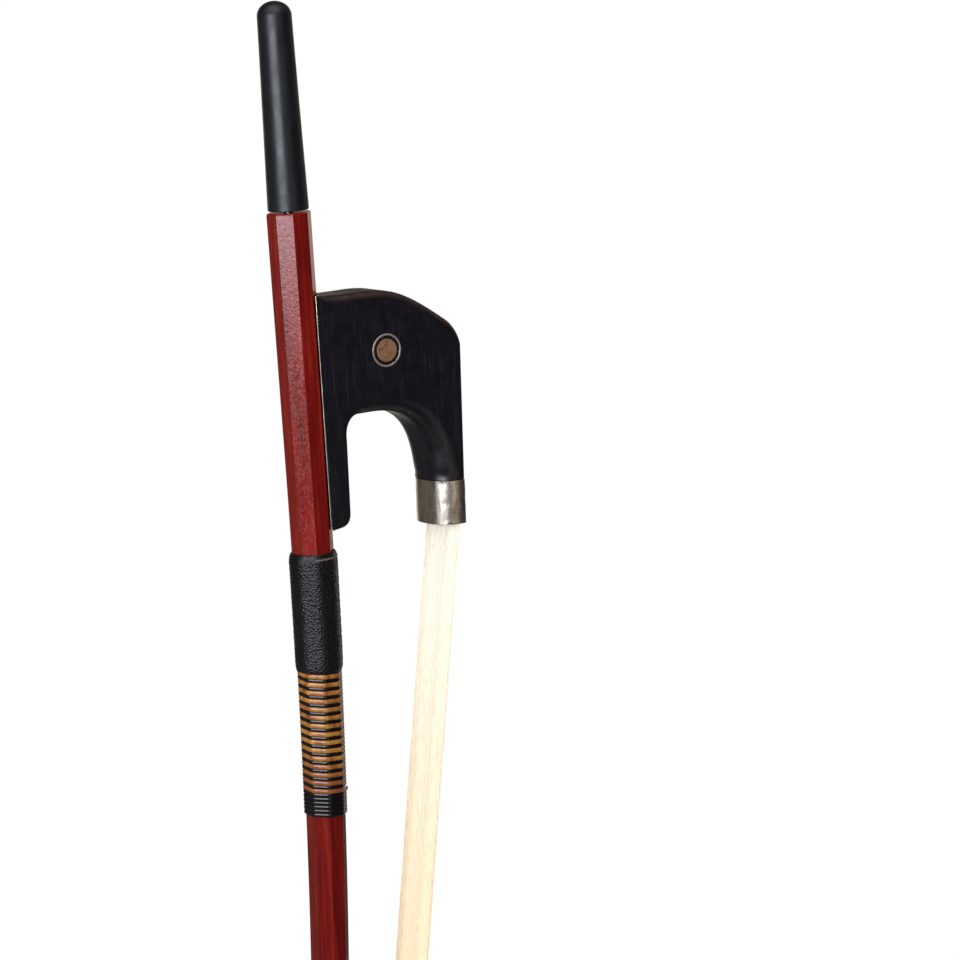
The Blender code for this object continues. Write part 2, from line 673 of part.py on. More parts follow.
def make_frog(mat, root):
    """Ebony block with its throat, then the channel, the neck for the ferrule and the seats of what it holds."""
    frog = finish("frog", make_frog_block(), mat, root, smooth=True)
    limb_end = face_block(FERRULE_START - GLUE_GAP, PAST_FERRULE, 2 * LIMB_DEPTH, 2 * FERRULE_HALF_WIDTH)
    cut(frog, cutter("limb_end", limb_end, root))
    inset = FERRULE_WALL + GLUE_GAP
    neck = [d_section(x, inset, NECK_TOP) for x in (FERRULE_START - 0.004, FERRULE_START + NECK_LENGTH)]
    cut(frog, cutter("ferrule_neck", loft(neck), root), 'UNION')

    offset = RUN_GAP + LINING + GLUE_GAP
    rings = []
    for x in (HEEL - CUT_MARGIN, TONGUE_END + CUT_MARGIN):
        seat = seat_section(x, offset, FROG_TOP - CUT_MARGIN)
        rings.append([Vector((x, -CUT_MARGIN, seat[0].z)), *seat, Vector((x, -CUT_MARGIN, seat[-1].z))])
    cut(frog, cutter("stick_channel", loft(rings), root))

    dovetail = [slide_section(x, -CUT_MARGIN, SLIDE_DEPTH, GLUE_GAP) for x in (SLIDE_START, PAST_FERRULE)]
    cut(frog, cutter("slide_groove", loft(dovetail), root))
    half = FROG_MORTISE_HALF_WIDTH
    cut(frog, cutter("hair_channel", face_block(FROG_MORTISE_START, PAST_FERRULE, CHANNEL_DEPTH, half), root))
    end = FROG_MORTISE_START + FROG_MORTISE_LENGTH
    cut(frog, cutter("frog_mortise", face_block(FROG_MORTISE_START, end, FROG_MORTISE_DEPTH, half), root))

    shank = rod(Vector((EYELET, 0, 0)), Vector((EYELET, EYELET_SHANK_END + GLUE_GAP, 0)), EYELET_SHANK_RADIUS + GLUE_GAP)
    cut(frog, cutter("shank_hole", shank, root))
    for number, x in enumerate(LINING_SCREWS, 1):
        end = Vector((x, lining_floor(x) + LINING_SCREW_LENGTH + GLUE_GAP, 0))
        hole = rod(Vector((x, 0, 0)), end, LINING_SCREW_RADIUS + GLUE_GAP, 12)
        cut(frog, cutter(f"lining_screw_hole_{number}", hole, root))
    for side, word in ((1, "left"), (-1, "right")):
        frame = side_frame(EYE_PLACE, side)
        inner = EYE_RING_RADIUS - EYE_RING_WIDTH - GLUE_GAP
        floor = -EYE_INLAY - GLUE_GAP
        groove = disc(frame, EYE_RING_RADIUS + GLUE_GAP, floor, CUT_MARGIN, inner)
        cut(frog, cutter(f"eye_groove_{word}", groove, root))
        pocket = disc(frame, EYE_PEARL_RADIUS + GLUE_GAP, floor, CUT_MARGIN)
        cut(frog, cutter(f"eye_pocket_{word}", pocket, root))
    return frog


def face_block(start, end, depth, half, top=-CUT_MARGIN):
    """A block under the frog's outer face."""
    rings = []
    for x in (start, end):
        corners = ((top, -half), (top, half), (depth, half), (depth, -half))
        rings.append([face_point(x, d, side) for d, side in corners])
    return loft(rings)


def lining_floor(x):
    """Height of the lining's inner surface under the stick."""
    return stick_width(x) / 2 + RUN_GAP


def make_lining(mat, root):
    """A channel of sheet metal between the frog and the stick's lower facets."""
    rings = []
    for x in (HEEL, TONGUE_END - GLUE_GAP):
        edge = lining_edge(x)
        inner = seat_section(x, RUN_GAP, edge)
        outer = seat_section(x, RUN_GAP + LINING, edge)
        rings.append(inner + outer[::-1])
    lining = finish("underslide", loft(rings), mat, root)
    shank = rod(Vector((EYELET, 0, 0)), Vector((EYELET, 2 * EYELET_SHANK_END, 0)), EYELET_SHANK_RADIUS + GLUE_GAP)
    cut(lining, cutter("lining_shank_hole", shank, root))
    for number, x in enumerate(LINING_SCREWS, 1):
        hole = rod(Vector((x, 0, 0)), Vector((x, 2 * EYELET_SHANK_END, 0)), LINING_SCREW_HEAD + GLUE_GAP, 16)
        cut(lining, cutter(f"lining_head_hole_{number}", hole, root))
    return lining


def make_lining_screws(mat, root):
    """Two small screws, heads level with the lining."""
    for word, x in zip(("rear", "front"), LINING_SCREWS):
        floor = lining_floor(x)
        head = LINING - GLUE_GAP
        profile = [(0.0, 0.0), (0.0, LINING_SCREW_HEAD), (head, LINING_SCREW_HEAD), (head, LINING_SCREW_RADIUS),
                   (LINING_SCREW_LENGTH, LINING_SCREW_RADIUS), (LINING_SCREW_LENGTH, 0.0)]
        bm = turned(profile, 16)
        place = Matrix.Translation((x, floor + GLUE_GAP / 2, 0)) @ Matrix.Rotation(math.pi / 2, 4, 'Z')
        bmesh.ops.transform(bm, matrix=place, verts=bm.verts)
        finish(f"underslide_screw_{word}", bm, mat, root, smooth=True)


def make_eyelet(mat, root):
    """A brass nut on the screw, with a shank that is screwed into the frog."""
    half = EYELET_LENGTH / 2
    low = Vector((EYELET - half, -(SCREW_RADIUS + GLUE_GAP + EYELET_FLOOR), -EYELET_HALF_WIDTH))
    shoulder = HANDLE_WIDTH / 2 - GLUE_GAP
    eyelet = finish("eyelet", box(low, Vector((EYELET + half, shoulder, EYELET_HALF_WIDTH))), mat, root)
    shank = rod(Vector((EYELET, shoulder - 0.001, 0)), Vector((EYELET, EYELET_SHANK_END, 0)), EYELET_SHANK_RADIUS)
    cut(eyelet, cutter("eyelet_shank", shank, root), 'UNION')
    start = Vector((EYELET - half - CUT_MARGIN, 0, 0))
    end = Vector((EYELET + half + CUT_MARGIN, 0, 0))
    cut(eyelet, cutter("eyelet_bore", rod(start, end, SCREW_RADIUS + GLUE_GAP), root))
    return eyelet


def make_slide(mats, root):
    """Pearl on an ebony backing; the backing runs in under the ferrule."""
    start = SLIDE_START + GLUE_GAP
    pearl = [slide_section(x, 0.0, PEARL_THICKNESS, 0.0) for x in (start, FERRULE_START - 2 * GLUE_GAP)]
    finish("slide_pearl", loft(pearl), mats["pearl"], root)
    top = PEARL_THICKNESS + GLUE_GAP
    end = FERRULE_START + SLIDE_UNDER_FERRULE
    backing = [slide_section(x, top, top + BACKING_THICKNESS, 0.0) for x in (start, end)]
    finish("slide_backing", loft(backing), mats["ebony"], root)


FROG_KNOT_X = FROG_MORTISE_START + KNOT_RADIUS + 2 * GLUE_GAP
FROG_KNOT_DEPTH = FROG_MORTISE_DEPTH - KNOT_RADIUS - 2 * GLUE_GAP


def make_frog_plug(mat, root):
    start = FROG_KNOT_X + KNOT_RADIUS + GLUE_GAP
    end = FROG_MORTISE_START + FROG_MORTISE_LENGTH - GLUE_GAP
    half = FROG_MORTISE_HALF_WIDTH - GLUE_GAP
    plug = face_block(start, end, FROG_MORTISE_DEPTH - GLUE_GAP, half, CHANNEL_DEPTH)
    return finish("frog_plug", plug, mat, root)


def make_ferrule(mat, root):
    """A D-shaped band of sheet metal round the frog's neck and the hair."""
    start, end = FERRULE_START, FERRULE_START + FERRULE_LENGTH
    outer = [d_section(x, 0.0, 0.0) for x in (start, end)]
    inner = [d_section(x, FERRULE_WALL, FERRULE_WALL) for x in (end, start)]
    return finish("ferrule", loft(outer + inner, ring_is_loop=True), mat, root, smooth=True)


def make_ferrule_wedge(mat, root):
    """Maple wedge on the neck that presses the hair out to the ferrule's corners."""
    start = FERRULE_START + 2 * GLUE_GAP
    end = FERRULE_START + NECK_LENGTH
    rings = []
    for x, thin in ((start, 0.4 * WEDGE_THICKNESS), (end, 0.0)):
        top, bottom = CHANNEL_DEPTH + thin, CHANNEL_DEPTH + WEDGE_THICKNESS
        wide, narrow = (d_half(depth, FERRULE_WALL) - 2 * GLUE_GAP for depth in (top, bottom))
        corners = ((top, -wide), (top, wide), (bottom, narrow), (bottom, -narrow))
        rings.append([face_point(x, d, side) for d, side in corners])
    return finish("ferrule_wedge", loft(rings), mat, root)


def make_eyes(mats, root):
    """A metal ring and a pearl dot let into each side."""
    for side, word in ((1, "left"), (-1, "right")):
        frame = side_frame(EYE_PLACE, side)
        ring = disc(frame, EYE_RING_RADIUS, -EYE_INLAY, EYE_PROUD, EYE_RING_RADIUS - EYE_RING_WIDTH)
        finish(f"eye_ring_{word}", ring, mats["nickel_silver"], root, smooth=True)
        dot = disc(frame, EYE_PEARL_RADIUS, -EYE_INLAY, EYE_PROUD)
        finish(f"eye_pearl_{word}", dot, mats["pearl"], root, smooth=True)


# Hair

def hair_path():
    """(point, half width) from the knot in the head to the knot in the frog."""
    half = HAIR_THICKNESS / 2
    rise = HEAD_HAIR_ALONG
    bottom = HEAD_KNOT[1] + KNOT_RADIUS + GLUE_GAP
    top = PLATE_FACE + GLUE_GAP + half
    bend = [math.pi / 2 * i / 4 for i in range(5)]
    reach = GLUE_GAP + half
    head = [(rise, bottom)]
    head += [(HEAD_MORTISE_START + reach * math.cos(t), PLATE_FACE + reach * math.sin(t)) for t in bend]
    path = [(put(HEAD_FRAME, s, n, 0), HAIR_HALF_MORTISE) for s, n in head]
    leave = put(HEAD_FRAME, HEAD_HEEL - 0.004, top + 0.0001, 0)
    mouth = face_point(FERRULE_START + FERRULE_LENGTH, HAIR_MOUTH_DEPTH)
    for i in range(HAIR_STATIONS):
        t = i / HAIR_STATIONS
        wide = HAIR_HALF_FROG + (HAIR_HALF_HEAD - HAIR_HALF_FROG) * (1 - t) ** 2
        path.append((leave.lerp(mouth, t), wide))
    path.append((mouth, d_half(HAIR_MOUTH_DEPTH + half, FERRULE_WALL) - GLUE_GAP))
    throat = FROG_MORTISE_HALF_WIDTH - GLUE_GAP
    path.append((face_point(FERRULE_START + 0.5 * FERRULE_LENGTH, HAIR_DEPTH), 0.5 * (HAIR_HALF_FROG + throat)))
    path.append((face_point(FERRULE_START - GLUE_GAP, HAIR_DEPTH), throat))
    path.append((face_point(FROG_KNOT_X + 0.0012, HAIR_DEPTH), throat))
    path.append((face_point(FROG_KNOT_X + 0.0003, HAIR_DEPTH + 0.0005), throat))
    path.append((face_point(FROG_KNOT_X, HAIR_DEPTH + 0.0016), throat))
    path.append((face_point(FROG_KNOT_X, FROG_KNOT_DEPTH - KNOT_RADIUS - GLUE_GAP), throat))
    return path


def make_hair(mat, root):
    """A flat ribbon of hair with rounded edges."""
    path = hair_path()
    rings = []
    for i, (here, wide) in enumerate(path):
        before = path[max(i - 1, 0)][0]
        after = path[min(i + 1, len(path) - 1)][0]
        along = (after - before).normalized()
        up = Vector((-along.y, along.x, 0))
        half = HAIR_THICKNESS / 2
        corners = ((-half * 0.4, wide), (half * 0.4, wide), (half, wide - half), (half, half - wide),
                   (half * 0.4, -wide), (-half * 0.4, -wide), (-half, half - wide), (-half, wide - half))
        rings.append([here + up * u + Vector((0, 0, side)) for u, side in corners])
    return finish("hair", loft(rings), mat, root)


# Thumb leather and winding

def make_leather(mat, root):
    """A sleeve that follows the stick's facets, softly rounded, with drawn-in ends."""
    under = WRAP_GAP
    over = WRAP_GAP + LEATHER_THICKNESS
    middle = LEATHER_END - LEATHER_START - 2 * LEATHER_EDGE
    places = [(LEATHER_START, over - LEATHER_EDGE / 2), (LEATHER_START + LEATHER_EDGE, over)]
    for i in range(1, LEATHER_STATIONS):
        places.append((LEATHER_START + LEATHER_EDGE + middle * i / LEATHER_STATIONS, over))
    places += [(LEATHER_END - LEATHER_EDGE, over), (LEATHER_END, over - LEATHER_EDGE / 2)]
    outer = [soft_octagon(stick_frame(x), stick_width(x), off, LEATHER_ROUND) for x, off in places]
    inner = [soft_octagon(stick_frame(x), stick_width(x), under, under) for x, _off in reversed(places)]
    return finish("thumb_leather", loft(outer + inner, ring_is_loop=True), mat, root, smooth=True)


def strip_rings(start, turns, advance):
    """Sections of a flat strip wound over the stick's facets; advance gives the travel after some turns."""
    half = STRIP_WIDTH / 2
    section = ((-half, 0.0), (-half, 0.6), (-half * 0.55, 1.0), (half * 0.55, 1.0), (half, 0.6), (half, 0.0))
    rings = []
    for i in range(int(turns * 8)):
        facet = -math.pi / 4 * i
        for end in (-1, 1):
            x = start + advance((i + 0.5 + 0.46 * end) / 8)
            origin, along, out = stick_frame(x)
            flat = stick_width(x) / 2
            normal = out * math.cos(facet) + Vector((0, 0, math.sin(facet)))
            across = out * math.sin(facet) - Vector((0, 0, math.cos(facet)))
            foot = origin + normal * (flat + WRAP_GAP) + across * (flat * OCTAGON_SHARE * end)
            rings.append([foot + along * a + normal * (STRIP_THICKNESS * r) for a, r in section])
    return rings


def least_gap(rings):
    """Smallest distance between a turn of a strip and the next turn, on their points."""
    per_turn = 16
    best = math.inf
    for i in range(len(rings) - per_turn):
        for j in range(max(i + per_turn - 2, 0), min(i + per_turn + 3, len(rings))):
            best = min(best, min((p - q).length for p in rings[i] for q in rings[j]))
    return best


def make_winding(mats, root):
    """Two strips side by side in wide turns, then the black one alone in close turns."""
    def black_advance(turn):
        return STRIP_PITCH * min(turn, WIDE_TURNS) + CLOSE_PITCH * max(turn - WIDE_TURNS, 0.0)

    def tan_advance(turn):
        return STRIP_PITCH * turn

    black = strip_rings(WINDING_START, WIDE_TURNS + CLOSE_TURNS, black_advance)
    tan = strip_rings(WINDING_START + STRIP_PITCH / 2, WIDE_TURNS - TAN_STOPS_BEFORE, tan_advance)
    for name, rings, mat in (("winding_black", black, "black_strip"), ("winding_tan", tan, "tan_strip")):
        print(f"{name}: least gap to itself {least_gap(rings) * 1000:.2f} mm")
        finish(name, loft(rings), mats[mat], root)


# The whole bow

def clear_scene():
    for obj in list(bpy.data.objects):
        bpy.data.objects.remove(obj, do_unlink=True)


def stand_on_table(root):
    """Move the empty so that the middle of the bow's footprint is the origin, at the height of its lowest point."""
    bpy.context.view_layer.update()
    graph = bpy.context.evaluated_depsgraph_get()
    corners = []
    for obj in root.children:
        if not obj.hide_render:
            corners += [obj.matrix_world @ Vector(c) for c in obj.evaluated_get(graph).bound_box]
    low = Vector([min(c[i] for c in corners) for i in range(3)])
    high = Vector([max(c[i] for c in corners) for i in range(3)])
    root.location -= Vector(((low.x + high.x) / 2, (low.y + high.y) / 2, low.z))
    print("bow frame at", [round(v, 6) for v in root.location], "size", [round(v, 6) for v in high - low])


def build():
    clear_scene()
    mats = make_materials()
    root = bpy.data.objects.new("bow", None)
    bpy.context.collection.objects.link(root)

    make_stick(mats["brazilwood"], root)
    make_head_plate("head_liner", mats["ebony"], root, LINER_FACE, LINER_THICKNESS)
    make_head_plate("tip_plate", mats["bone"], root, PLATE_FACE, PLATE_THICKNESS)
    make_head_plug(mats["maple"], root)
    head_knot = put(HEAD_FRAME, HEAD_KNOT[0], HEAD_KNOT[1], 0)
    make_knot("head_knot", mats["horsehair"], root, head_knot, HEAD_MORTISE_HALF_WIDTH - 2 * GLUE_GAP)
    make_hair(mats["horsehair"], root)

    make_frog(mats["ebony"], root)
    make_lining(mats["nickel_silver"], root)
    make_lining_screws(mats["steel"], root)
    make_eyelet(mats["brass"], root)
    make_slide(mats, root)
    frog_knot = face_point(FROG_KNOT_X, FROG_KNOT_DEPTH)
    make_knot("frog_knot", mats["horsehair"], root, frog_knot, FROG_MORTISE_HALF_WIDTH - 2 * GLUE_GAP)
    make_frog_plug(mats["maple"], root)
    make_ferrule(mats["nickel_silver"], root)
    make_ferrule_wedge(mats["maple"], root)
    make_eyes(mats, root)

    make_screw(mats["steel"], root)
    make_button(mats["polished_ebony"], root)
    make_leather(mats["leather"], root)
    make_winding(mats, root)
    stand_on_table(root)


build()
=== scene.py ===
"""The double bass bow as it looks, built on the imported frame. Metres, +Z up.

Bow coordinates: X along the handle from the button to the head, with zero at the stick's butt; Y from the
stick to the hair, with zero on the handle's axis; Z across the bow, with zero in its middle plane. ORIGIN
moves them into the frame's own coordinates.
"""
import logging
import math
from dataclasses import dataclass, field
from enum import Enum

import bmesh
import bpy
from mathutils import Matrix, Vector, noise
from mathutils.geometry import interpolate_bezier


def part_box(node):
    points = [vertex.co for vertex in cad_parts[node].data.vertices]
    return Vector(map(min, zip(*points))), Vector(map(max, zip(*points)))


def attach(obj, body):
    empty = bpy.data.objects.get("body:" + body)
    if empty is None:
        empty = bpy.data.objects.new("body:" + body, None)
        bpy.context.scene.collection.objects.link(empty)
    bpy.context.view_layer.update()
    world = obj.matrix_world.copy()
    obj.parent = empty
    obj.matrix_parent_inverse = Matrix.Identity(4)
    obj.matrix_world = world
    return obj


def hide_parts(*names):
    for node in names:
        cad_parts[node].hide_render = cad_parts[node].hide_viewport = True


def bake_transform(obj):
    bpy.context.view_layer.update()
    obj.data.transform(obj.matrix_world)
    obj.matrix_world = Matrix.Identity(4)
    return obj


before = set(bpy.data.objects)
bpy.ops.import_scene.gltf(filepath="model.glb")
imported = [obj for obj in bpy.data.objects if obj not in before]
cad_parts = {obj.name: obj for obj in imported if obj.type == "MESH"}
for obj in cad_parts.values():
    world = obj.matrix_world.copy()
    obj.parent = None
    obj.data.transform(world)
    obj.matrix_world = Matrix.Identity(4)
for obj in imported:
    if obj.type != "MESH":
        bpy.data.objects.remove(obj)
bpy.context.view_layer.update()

LOG = logging.getLogger("bow")

STICK_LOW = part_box("stick")[0]
SCREW_LOW, SCREW_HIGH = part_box("screw")
ORIGIN = Vector((STICK_LOW[0], (SCREW_LOW[1] + SCREW_HIGH[1]) / 2, (SCREW_LOW[2] + SCREW_HIGH[2]) / 2))

OCTAGON_SHARE = math.tan(math.pi / 8)
DIAGONAL = math.sqrt(2)
GLUE_GAP = 0.0002
RUN_GAP = 0.0003
CUT_MARGIN = 0.002
EASE = 0.3    # where a two-step rounding turns, as a share of its reach


class Body(str, Enum):
    """The bodies that the pieces ride on."""

    STICK = "stick"
    FROG = "frog"
    SCREW = "screw"


# Colours and nodes

def colour(code: str) -> tuple[float, float, float, float]:
    """Turn an sRGB hex colour to linear.

    Args:
        code: Six hex digits.

    Returns:
        Linear red, green and blue, with an alpha of one.
    """
    parts = [int(code[i:i + 2], 16) / 255 for i in (0, 2, 4)]
    linear = [p / 12.92 if p <= 0.04045 else ((p + 0.055) / 1.055) ** 2.4 for p in parts]
    return (*linear, 1.0)


def per_mm(*sizes: float) -> tuple[float, ...]:
    """Turn the sizes of a pattern in millimetres into the scale of a Mapping node."""
    return tuple(1000.0 / size for size in sizes)


def add(tree: bpy.types.NodeTree, kind: str, inputs: dict | None = None, **settings) -> bpy.types.Node:
    """Add a node with its settings and links.

    Args:
        tree: The tree that gets the node.
        kind: The node's type.
        inputs: Values or output sockets for its inputs, by name or number.
        **settings: Its properties; stops are the places and colours of a colour ramp.

    Returns:
        The node.
    """
    made = tree.nodes.new(kind)
    for name, value in settings.items():
        if name != "stops":
            setattr(made, name, value)
            continue
        ramp = made.color_ramp.elements
        while len(ramp) < len(value):
            ramp.new(1.0)
        for element, (place, shade) in zip(ramp, value):
            element.position, element.color = place, shade
    for name, value in (inputs or {}).items():
        if isinstance(value, bpy.types.NodeSocket):
            tree.links.new(value, made.inputs[name])
        else:
            made.inputs[name].default_value = value
    return made


def blank(name: str, **values: float) -> tuple[bpy.types.Material, bpy.types.NodeTree, bpy.types.Node]:
    """Start a material.

    Args:
        name: The material's name.
        **values: Values of the shader's own sockets, with underscores for spaces.

    Returns:
        The material, its tree and its Principled shader.
    """
    mat = bpy.data.materials.new(name)
    mat.use_nodes = True
    tree = mat.node_tree
    shader = tree.nodes["Principled BSDF"]
    for word, value in values.items():
        shader.inputs[word.replace("_", " ")].default_value = value
    return mat, tree, shader


def grey(value: float) -> tuple[float, float, float, float]:
    """A grey for a ramp that drives a number."""
    return (value, value, value, 1.0)


# Finishes

@dataclass(frozen=True)
class VarnishedBrazilwood:
    """Brazilwood planed to facets, oiled and thinly varnished: red brown with fine dark pores, darkened
    towards the head by a painted shade where the light falls off along the stick, and with a sheen that
    breaks up over the slightly uneven film."""

    dark: str = "5A0D08"
    middle: str = "70130D"
    light: str = "852012"
    pore: str = "400805"
    film: str = "FFE9E4"      # the varnish warms what it mirrors
    shade_span: tuple[float, float] = (0.100, 0.215)    # where along the stick the painted shade of the light's falloff starts and is full
    # how dark the painted shade makes the wood where it is full
    shaded_tone: float = 0.76
    figure_mm: tuple[float, float, float] = (26.0, 1.3, 1.3)
    pore_mm: tuple[float, float, float] = (3.2, 0.16, 0.16)   # a little coarser than real, to show
    peel_mm: float = 1.1

    def material(self) -> bpy.types.Material:
        """Build the material."""
        mat, tree, shader = blank("varnished_brazilwood", IOR=1.55)
        shader.inputs["Specular Tint"].default_value = colour(self.film)
        place = add(tree, "ShaderNodeTexCoord").outputs["Object"]
        along = add(tree, "ShaderNodeMapping", {"Vector": place, "Scale": per_mm(*self.figure_mm)}).outputs[0]
        inputs = {"Vector": along, "Scale": 1.0, "Detail": 4.0}
        figure = add(tree, "ShaderNodeTexNoise", inputs).outputs["Fac"]
        stops = ((0.32, colour(self.dark)), (0.52, colour(self.middle)), (0.70, colour(self.light)))
        wood = add(tree, "ShaderNodeValToRGB", {"Fac": figure}, stops=stops).outputs["Color"]
        fine = add(tree, "ShaderNodeMapping", {"Vector": place, "Scale": per_mm(*self.pore_mm)}).outputs[0]
        dashes = add(tree, "ShaderNodeTexNoise", {"Vector": fine, "Scale": 1.0, "Detail": 1.0}).outputs["Fac"]
        inputs = {"Fac": dashes}
        pores = add(tree, "ShaderNodeValToRGB", inputs, stops=((0.63, grey(0)), (0.74, grey(1)))).outputs[0]
        inputs = {0: pores, 6: wood, 7: colour(self.pore)}
        shade = add(tree, "ShaderNodeMix", inputs, data_type='RGBA').outputs[2]
        # painted shade: the wood is darkened towards the head, where the light falls off along the stick
        x = add(tree, "ShaderNodeSeparateXYZ", {"Vector": place}).outputs["X"]
        first, last = [ORIGIN.x + end for end in self.shade_span]
        inputs = {"Value": x, "From Min": first, "From Max": last, "To Min": 1.0, "To Max": self.shaded_tone}
        tone = add(tree, "ShaderNodeMapRange", inputs).outputs[0]
        inputs = {0: 1.0, 6: shade, 7: tone}
        shade = add(tree, "ShaderNodeMix", inputs, data_type='RGBA', blend_type='MULTIPLY').outputs[2]
        tree.links.new(shade, shader.inputs["Base Color"])
        inputs = {"Vector": place, "Scale": per_mm(*[self.peel_mm] * 3)}
        skin = add(tree, "ShaderNodeMapping", inputs).outputs[0]
        peel = add(tree, "ShaderNodeTexNoise", {"Vector": skin, "Scale": 1.0, "Detail": 3.0}).outputs["Fac"]
        inputs = {"Value": peel, "From Min": 0.3, "From Max": 0.7, "To Min": 0.12, "To Max": 0.21}
        rough = add(tree, "ShaderNodeMapRange", inputs).outputs[0]
        tree.links.new(rough, shader.inputs["Roughness"])
        inputs = {"Height": peel, "Strength": 0.5, "Distance": 0.00006}
        wavy = add(tree, "ShaderNodeBump", inputs).outputs[0]
        inputs = {"Height": pores, "Strength": 0.25, "Distance": 0.00003, "Normal": wavy}
        bump = add(tree, "ShaderNodeBump", inputs, invert=True).outputs[0]
        tree.links.new(bump, shader.inputs["Normal"])
        return mat


class Polish(Enum):
    """How a piece of ebony is finished: name, roughness, and depth of the lines left in it in metres. The
    button has the finer lines, though hands have dulled its gloss a little."""

    SATIN = ("satin_ebony", 0.34, 0.000020)
    BRIGHT = ("polished_ebony", 0.37, 0.000006)


@dataclass(frozen=True)
class Ebony:
    """Black heartwood, scraped and oiled: nearly black, with hair-fine lines along the grain, and browner on
    its rounded edges, partly from real wear and partly as a painted highlight."""

    polish: Polish
    dark: str = "060509"
    light: str = "0B0A10"
    streak: str = "2A2C38"
    # brown of the rounded edges: partly real wear, partly a painted highlight
    edge_brown: str = "4A3328"
    line_mm: tuple[float, float, float] = (14.0, 0.22, 0.22)
    cloud_mm: float = 4.0

    def material(self) -> bpy.types.Material:
        """Build the material."""
        name, rough, depth = self.polish.value
        mat, tree, shader = blank(name, IOR=1.5)
        place = add(tree, "ShaderNodeTexCoord").outputs["Object"]
        along = add(tree, "ShaderNodeMapping", {"Vector": place, "Scale": per_mm(*self.line_mm)}).outputs[0]
        lines = add(tree, "ShaderNodeTexNoise", {"Vector": along, "Scale": 1.0, "Detail": 3.0}).outputs["Fac"]
        stops = ((0.35, colour(self.dark)), (0.60, colour(self.light)), (0.72, colour(self.streak)))
        wood = add(tree, "ShaderNodeValToRGB", {"Fac": lines}, stops=stops).outputs["Color"]
        # the brown on the rounded edges is partly real wear and partly a painted highlight
        wear = add(tree, "ShaderNodeAttribute", attribute_name="wear").outputs["Fac"]
        inputs = {0: wear, 6: wood, 7: colour(self.edge_brown)}
        shade = add(tree, "ShaderNodeMix", inputs, data_type='RGBA').outputs[2]
        tree.links.new(shade, shader.inputs["Base Color"])
        inputs = {"Vector": place, "Scale": per_mm(*[self.cloud_mm] * 3)}
        soft = add(tree, "ShaderNodeMapping", inputs).outputs[0]
        cloud = add(tree, "ShaderNodeTexNoise", {"Vector": soft, "Scale": 1.0, "Detail": 4.0}).outputs["Fac"]
        inputs = {"Value": cloud, "From Min": 0.3, "From Max": 0.7,
                  "To Min": rough - 0.06, "To Max": rough + 0.08}
        tree.links.new(add(tree, "ShaderNodeMapRange", inputs).outputs[0], shader.inputs["Roughness"])
        inputs = {"Height": lines, "Strength": 0.6, "Distance": depth}
        tree.links.new(add(tree, "ShaderNodeBump", inputs).outputs[0], shader.inputs["Normal"])
        return mat


@dataclass(frozen=True)
class NickelSilver:
    """Rolled nickel silver, soldered and filed by hand, then long in use: warm grey metal with tarnish in
    clouds, small dents and dark pits."""

    name: str = "worn_nickel_silver"
    bright: str = "C9C2B4"
    tarnish: str = "9C8E7E"
    pit: str = "4A403A"
    rough: float = 0.42
    gloss: float = 0.22
    cloud_mm: tuple[float, float, float] = (5.5, 1.4, 1.4)
    pit_mm: float = 0.6

    def material(self) -> bpy.types.Material:
        """Build the material."""
        mat, tree, shader = blank(self.name, Metallic=1.0)
        place = add(tree, "ShaderNodeTexCoord").outputs["Object"]
        wide = add(tree, "ShaderNodeMapping", {"Vector": place, "Scale": per_mm(*self.cloud_mm)}).outputs[0]
        cloud = add(tree, "ShaderNodeTexNoise", {"Vector": wide, "Scale": 1.0, "Detail": 6.0}).outputs["Fac"]
        stops = ((0.34, colour(self.tarnish)), (0.58, colour(self.bright)))
        metal = add(tree, "ShaderNodeValToRGB", {"Fac": cloud}, stops=stops).outputs["Color"]
        inputs = {"Vector": place, "Scale": per_mm(*[self.pit_mm] * 3)}
        small = add(tree, "ShaderNodeMapping", inputs).outputs[0]
        inputs = {"Vector": small, "Scale": 1.0, "Detail": 2.0}
        specks = add(tree, "ShaderNodeTexNoise", inputs).outputs["Fac"]
        inputs = {"Fac": specks}
        pits = add(tree, "ShaderNodeValToRGB", inputs, stops=((0.66, grey(0)), (0.74, grey(1)))).outputs[0]
        inputs = {0: pits, 6: metal, 7: colour(self.pit)}
        shade = add(tree, "ShaderNodeMix", inputs, data_type='RGBA').outputs[2]
        tree.links.new(shade, shader.inputs["Base Color"])
        inputs = {"Value": cloud, "From Min": 0.3, "From Max": 0.7,
                  "To Min": self.rough, "To Max": self.gloss}
        tree.links.new(add(tree, "ShaderNodeMapRange", inputs).outputs[0], shader.inputs["Roughness"])
        inputs = {"Height": cloud, "Strength": 0.35, "Distance": 0.00012}
        dents = add(tree, "ShaderNodeBump", inputs).outputs[0]
        inputs = {"Height": pits, "Strength": 0.5, "Distance": 0.00004, "Normal": dents}
        bump = add(tree, "ShaderNodeBump", inputs, invert=True).outputs[0]
        tree.links.new(bump, shader.inputs["Normal"])
        return mat


@dataclass(frozen=True)
class TurnedMetal:
    """Metal turned on a lathe: fine rings from the tool break its gloss a little."""

    name: str
    tone: str
    dull: str
    ring_mm: float = 0.12

    def material(self) -> bpy.types.Material:
        """Build the material."""
        mat, tree, shader = blank(self.name, Metallic=1.0)
        place = add(tree, "ShaderNodeTexCoord").outputs["Object"]
        scale = per_mm(self.ring_mm, 6.0, 6.0)
        rings = add(tree, "ShaderNodeMapping", {"Vector": place, "Scale": scale}).outputs[0]
        tool = add(tree, "ShaderNodeTexNoise", {"Vector": rings, "Scale": 1.0, "Detail": 2.0}).outputs["Fac"]
        stops = ((0.35, colour(self.dull)), (0.60, colour(self.tone)))
        metal = add(tree, "ShaderNodeValToRGB", {"Fac": tool}, stops=stops).outputs["Color"]
        tree.links.new(metal, shader.inputs["Base Color"])
        inputs = {"Value": tool, "From Min": 0.3, "From Max": 0.7, "To Min": 0.36, "To Max": 0.24}
        tree.links.new(add(tree, "ShaderNodeMapRange", inputs).outputs[0], shader.inputs["Roughness"])
        return mat


